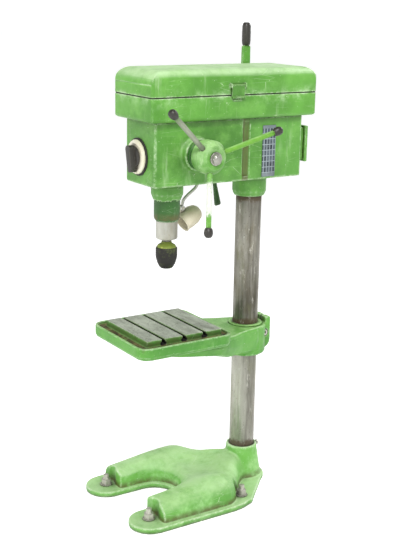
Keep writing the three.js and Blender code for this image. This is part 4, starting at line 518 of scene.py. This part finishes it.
def chart_tin(name):
    """Tin chart with rows of worn blank fields."""
    p = Paint.new(name, 0.4)
    place = p.node("ShaderNodeCombineXYZ")
    p.feed(place.inputs[0], p.axis(p.coord, "Z"))
    p.feed(place.inputs[1], p.axis(p.coord, "Y"))
    rows = p.node("ShaderNodeTexBrick", offset=0.0)
    p.feed(rows.inputs["Vector"], place.outputs[0])
    rows.inputs["Color1"].default_value = linear(38, 46, 52)
    rows.inputs["Color2"].default_value = linear(84, 96, 104)
    rows.inputs["Mortar"].default_value = linear(150, 162, 166)
    rows.inputs["Scale"].default_value = 1
    rows.inputs["Brick Width"].default_value = CHART_FIELD
    rows.inputs["Row Height"].default_value = CHART_ROW
    rows.inputs["Mortar Size"].default_value = CHART_LINE
    rows.inputs["Mortar Smooth"].default_value = 0.3
    tin = p.mix(p.noise(60, 5, 0.7), linear(66, 78, 84), linear(150, 160, 164))
    worn = p.band(p.noise(120, 5, 0.75, shift=2), 0.5, 0.62)
    z = p.axis(p.coord, "Z")
    shown = p.times(p.band(z, CHART_LOW, CHART_LOW + 0.002), p.band(z, CHART_HIGH, CHART_HIGH - 0.002))
    shown = p.times(shown, p.minus(1.0, p.times(worn, 0.6)))
    tone = p.mix(shown, tin, rows.outputs["Color"])
    p.relief(p.noise(200, 4), 0.15, 0.0003)
    return p.finish(tone, p.plus(0.35, p.times(worn, 0.25)), 0.35)


# ------------------------------------------------------------------ mesh dressing
FINE = {}                                   # refined copies by the name of the node they stand for
FAR_ABOVE = 9.0                             # higher than anything here, so that no facet is left out


def smooth_faces(obj):
    obj.data.polygons.foreach_set("use_smooth", [True] * len(obj.data.polygons))


def round_edges(obj, width):
    """Machined piece: welded, small rounded edges, smooth between them."""
    weld = obj.modifiers.new("weld", "WELD")
    weld.merge_threshold = 1e-5
    bevel = obj.modifiers.new("edge", "BEVEL")
    bevel.width, bevel.segments, bevel.limit_method = width, 2, "ANGLE"
    bevel.angle_limit = math.radians(32)
    bevel.use_clamp_overlap = True
    bevel.harden_normals = True
    smooth_faces(obj)


def cast(obj, grain, passes):
    """Sand-cast piece: remeshed and relaxed, so that outside edges round over and inside corners fill."""
    weld = obj.modifiers.new("weld", "WELD")
    weld.merge_threshold = 1e-5
    remesh = obj.modifiers.new("skin", "REMESH")
    remesh.mode, remesh.voxel_size, remesh.use_smooth_shade = "VOXEL", grain, True
    relax = obj.modifiers.new("relax", "SMOOTH")
    relax.factor, relax.iterations = 0.5, passes
    smooth_faces(obj)


def fine_round(name, centre, axis, passes=2, top=FAR_ABOVE):
    """Finer copy of a turned node: its facets are split and pushed out to the round that they stand for.

    centre is where the axis crosses the other two directions; above top the facets stay as they are.
    """
    a, b = [k for k in range(3) if k != axis]
    obj = bpy.data.objects.new("fine_" + name, NODES[name].data.copy())
    bpy.context.scene.collection.objects.link(obj)
    work = bmesh.new()
    work.from_mesh(obj.data)
    bmesh.ops.remove_doubles(work, verts=work.verts, dist=1e-5)

    def polar(co):
        over, up = co[a] - centre[0], co[b] - centre[1]
        return math.hypot(over, up), math.atan2(up, over)

    def key(co):
        return tuple(round(v, 6) for v in co)

    for _ in range(passes):
        chosen, radius = [], {}
        for edge in work.edges:
            (r0, t0), (r1, t1) = polar(edge.verts[0].co), polar(edge.verts[1].co)
            turn = abs((t1 - t0 + math.pi) % (2 * math.pi) - math.pi)
            middle = (edge.verts[0].co + edge.verts[1].co) / 2
            if min(r0, r1) > 0.002 and 0.03 < turn < 0.9 and middle.z < top:
                chosen.append(edge)
                radius[key(middle)] = (r0 + r1) / 2
        bmesh.ops.subdivide_edges(work, edges=chosen, cuts=1, use_grid_fill=True)
        for vert in work.verts:
            wanted = radius.get(key(vert.co))
            if wanted:
                r, t = polar(vert.co)
                vert.co[a] = centre[0] + wanted * math.cos(t)
                vert.co[b] = centre[1] + wanted * math.sin(t)
    work.to_mesh(obj.data)
    work.free()
    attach(obj, BODY_OF[name])
    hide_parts(name)
    FINE[name] = obj


def paint(material, *names):
    for name in names:
        obj = FINE.get(name) or NODES[name]
        obj.data.materials.clear()
        obj.data.materials.append(material)


def dress(material, names, width=0.0008):
    paint(material, *names)
    for name in names:
        round_edges(FINE.get(name) or NODES[name], width)


# ------------------------------------------------------------------ the scene
make_camera()
make_floor()
make_lights()

for turned in ("column_tube", "table_liner"):
    fine_round(turned, COLUMN, Z_AXIS)
for turned in ("quill_guide", "chuck_body", "chuck_sleeve", "lower_bearing"):
    fine_round(turned, SPINDLE, Z_AXIS)
fine_round("quill", SPINDLE, Z_AXIS, top=QUILL_ROUND_TOP)
for turned in ("feed_hub", "depth_ring", "spring_housing"):
    fine_round(turned, FEED, X_AXIS)

GRAIN = 0.0026     # size of the castings' skin mesh
paint(enamel("base_enamel", 0.9, 0.85, 0.85, deep=linear(78, 144, 44), mid=linear(108, 176, 70),
             pale=linear(158, 208, 132), skin=True, soil_and_shade_foot=FLANGE_TOP, painted_highlight=0.45), "base_casting")
cast(NODES["base_casting"], GRAIN, 14)
paint(enamel("head_enamel", 0.5, 0.55, 0.75, mid=linear(88, 150, 56), skin=True, groove=HEAD_GROOVE,
             painted_highlight=0.3), "head_casting")
cast(NODES["head_casting"], GRAIN, 4)
paint(table_finish("table_enamel"), "table_casting")
cast(NODES["table_casting"], GRAIN * 0.8, 3)

dress(enamel("guard_enamel", 0.45, 0.62, 0.55, deep=linear(70, 130, 36), mid=linear(94, 160, 54), edge=0.0055,
             painted_highlight=0.75), ["guard_pan", "guard_lid"], 0.0022)
dress(enamel("sleeve_enamel", 0.25, 0.3, 0.7, soil_and_shade_foot=SLEEVE_SHADE_LINE, deep=linear(22, 66, 8),
             mid=linear(38, 94, 18), pale=linear(96, 140, 78)), ["quill_guide"], 0.0015)
dress(enamel("small_enamel", 0.5, 0.75, 0.8, edge=0.003),
      ["spring_housing", "table_liner", "lid_latch", "belt_tension_lever", "terminal_box", "terminal_cover"],
      0.0012)
dress(enamel("hub_enamel", 0.9, 0.9, 0.7, mid=linear(104, 168, 66), pale=linear(150, 190, 124), edge=0.004),
      ["feed_hub"], 0.0016)
dress(enamel("ring_enamel", 0.2, 0.25, 0.95, deep=linear(24, 80, 8), mid=linear(40, 104, 16),
             pale=linear(60, 122, 34), edge=0.0004), ["depth_ring"], 0.0008)
# Painted shade: a darker copy of the green enamel for the clamp lever, which sits in shadow under the head.
dress(enamel("shaded_enamel", 0.2, 0.2, 0.7, deep=linear(24, 62, 12), mid=linear(44, 92, 26),
             pale=linear(70, 118, 44)), ["head_clamp_lever"], 0.001)
dress(enamel("spoke_green", 0.4, 0.3, 0.5, deep=linear(80, 138, 30), mid=linear(110, 172, 40),
             pale=linear(146, 196, 70), edge=0.0008), ["spoke_1"], 0.0006)
dress(bare_steel("spoke_steel", linear(92, 100, 78), linear(150, 156, 136), linear(88, 128, 62), 0.7, 0.45,
                 0.4, (4, 1, 1), 0.0008), ["spoke_2"], 0.0006)
dress(worn_spoke("spoke_worn", *HANDLED), ["spoke_3"], 0.0006)
dress(column_finish("column_steel", COLUMN_RINGS), ["column_tube"], 0.001)
dress(bare_steel("bright_steel", linear(128, 128, 118), linear(190, 190, 180), linear(150, 140, 112), 0.4,
                 0.3, 0.85, (1, 1, 16)),
      ["quill", "spindle_shaft", "lower_bearing", "upper_bearing", "sleeve_bearing", "pinion_shaft",
       "hub_nut", "motor_shaft", "lid_hinge_pin", "table_clamp_bolt", "head_clamp_bolt", "base_socket_screw",
       "return_spring", "chuck_jaw_1", "chuck_jaw_2", "chuck_jaw_3", "lamp_arm"], 0.0004)
dress(bare_steel("bolt_steel", linear(96, 92, 78), linear(196, 194, 182), linear(58, 46, 28), 0.8, 0.42, 0.6,
                 (1, 1, 4), 0.002), [f"base_bolt_{i}" for i in range(1, 5)], 0.0008)
dress(black_iron("chuck_iron", (26, 25, 22), (112, 108, 86), 0.5, 0.3, 0.2), ["chuck_sleeve"], 0.0008)
dress(black_iron("chuck_moss", (84, 96, 34), (168, 176, 84), 0.5, 0.2, 0.9), ["chuck_body"], 0.0008)
dress(black_iron("shop_black"), ["table_clamp_lever", "motor_body", "motor_plate", "cable_gland"], 0.0008)
dress(black_iron("knob_black", (34, 32, 28), (96, 92, 80), 0.35, 0.0),
      ["knob_1", "knob_2", "knob_3", "lever_grip", "switch_knob"], 0.001)
dress(bare_steel("pulley_iron", linear(110, 110, 106), linear(160, 160, 154), linear(90, 74, 52), 0.4,
                 0.5, 0.5),
      ["spindle_pulley", "motor_pulley"], 0.0006)
dress(rubber("belt_rubber"), ["switch_gasket", "lid_seal", "drive_belt"], 0.0005)
dress(moulded("switch_ivory", (226, 222, 204), (200, 194, 168)), ["switch_body"], 0.0012)
dress(moulded("shade_cream", (214, 206, 184), (190, 182, 152), 0.45), ["lamp_shade"], 0.0006)
dress(frosted("bulb_glass"), ["lamp_bulb"], 0.0006)
dress(chart_tin("plate_tin"), ["speed_plate"], 0.0003)
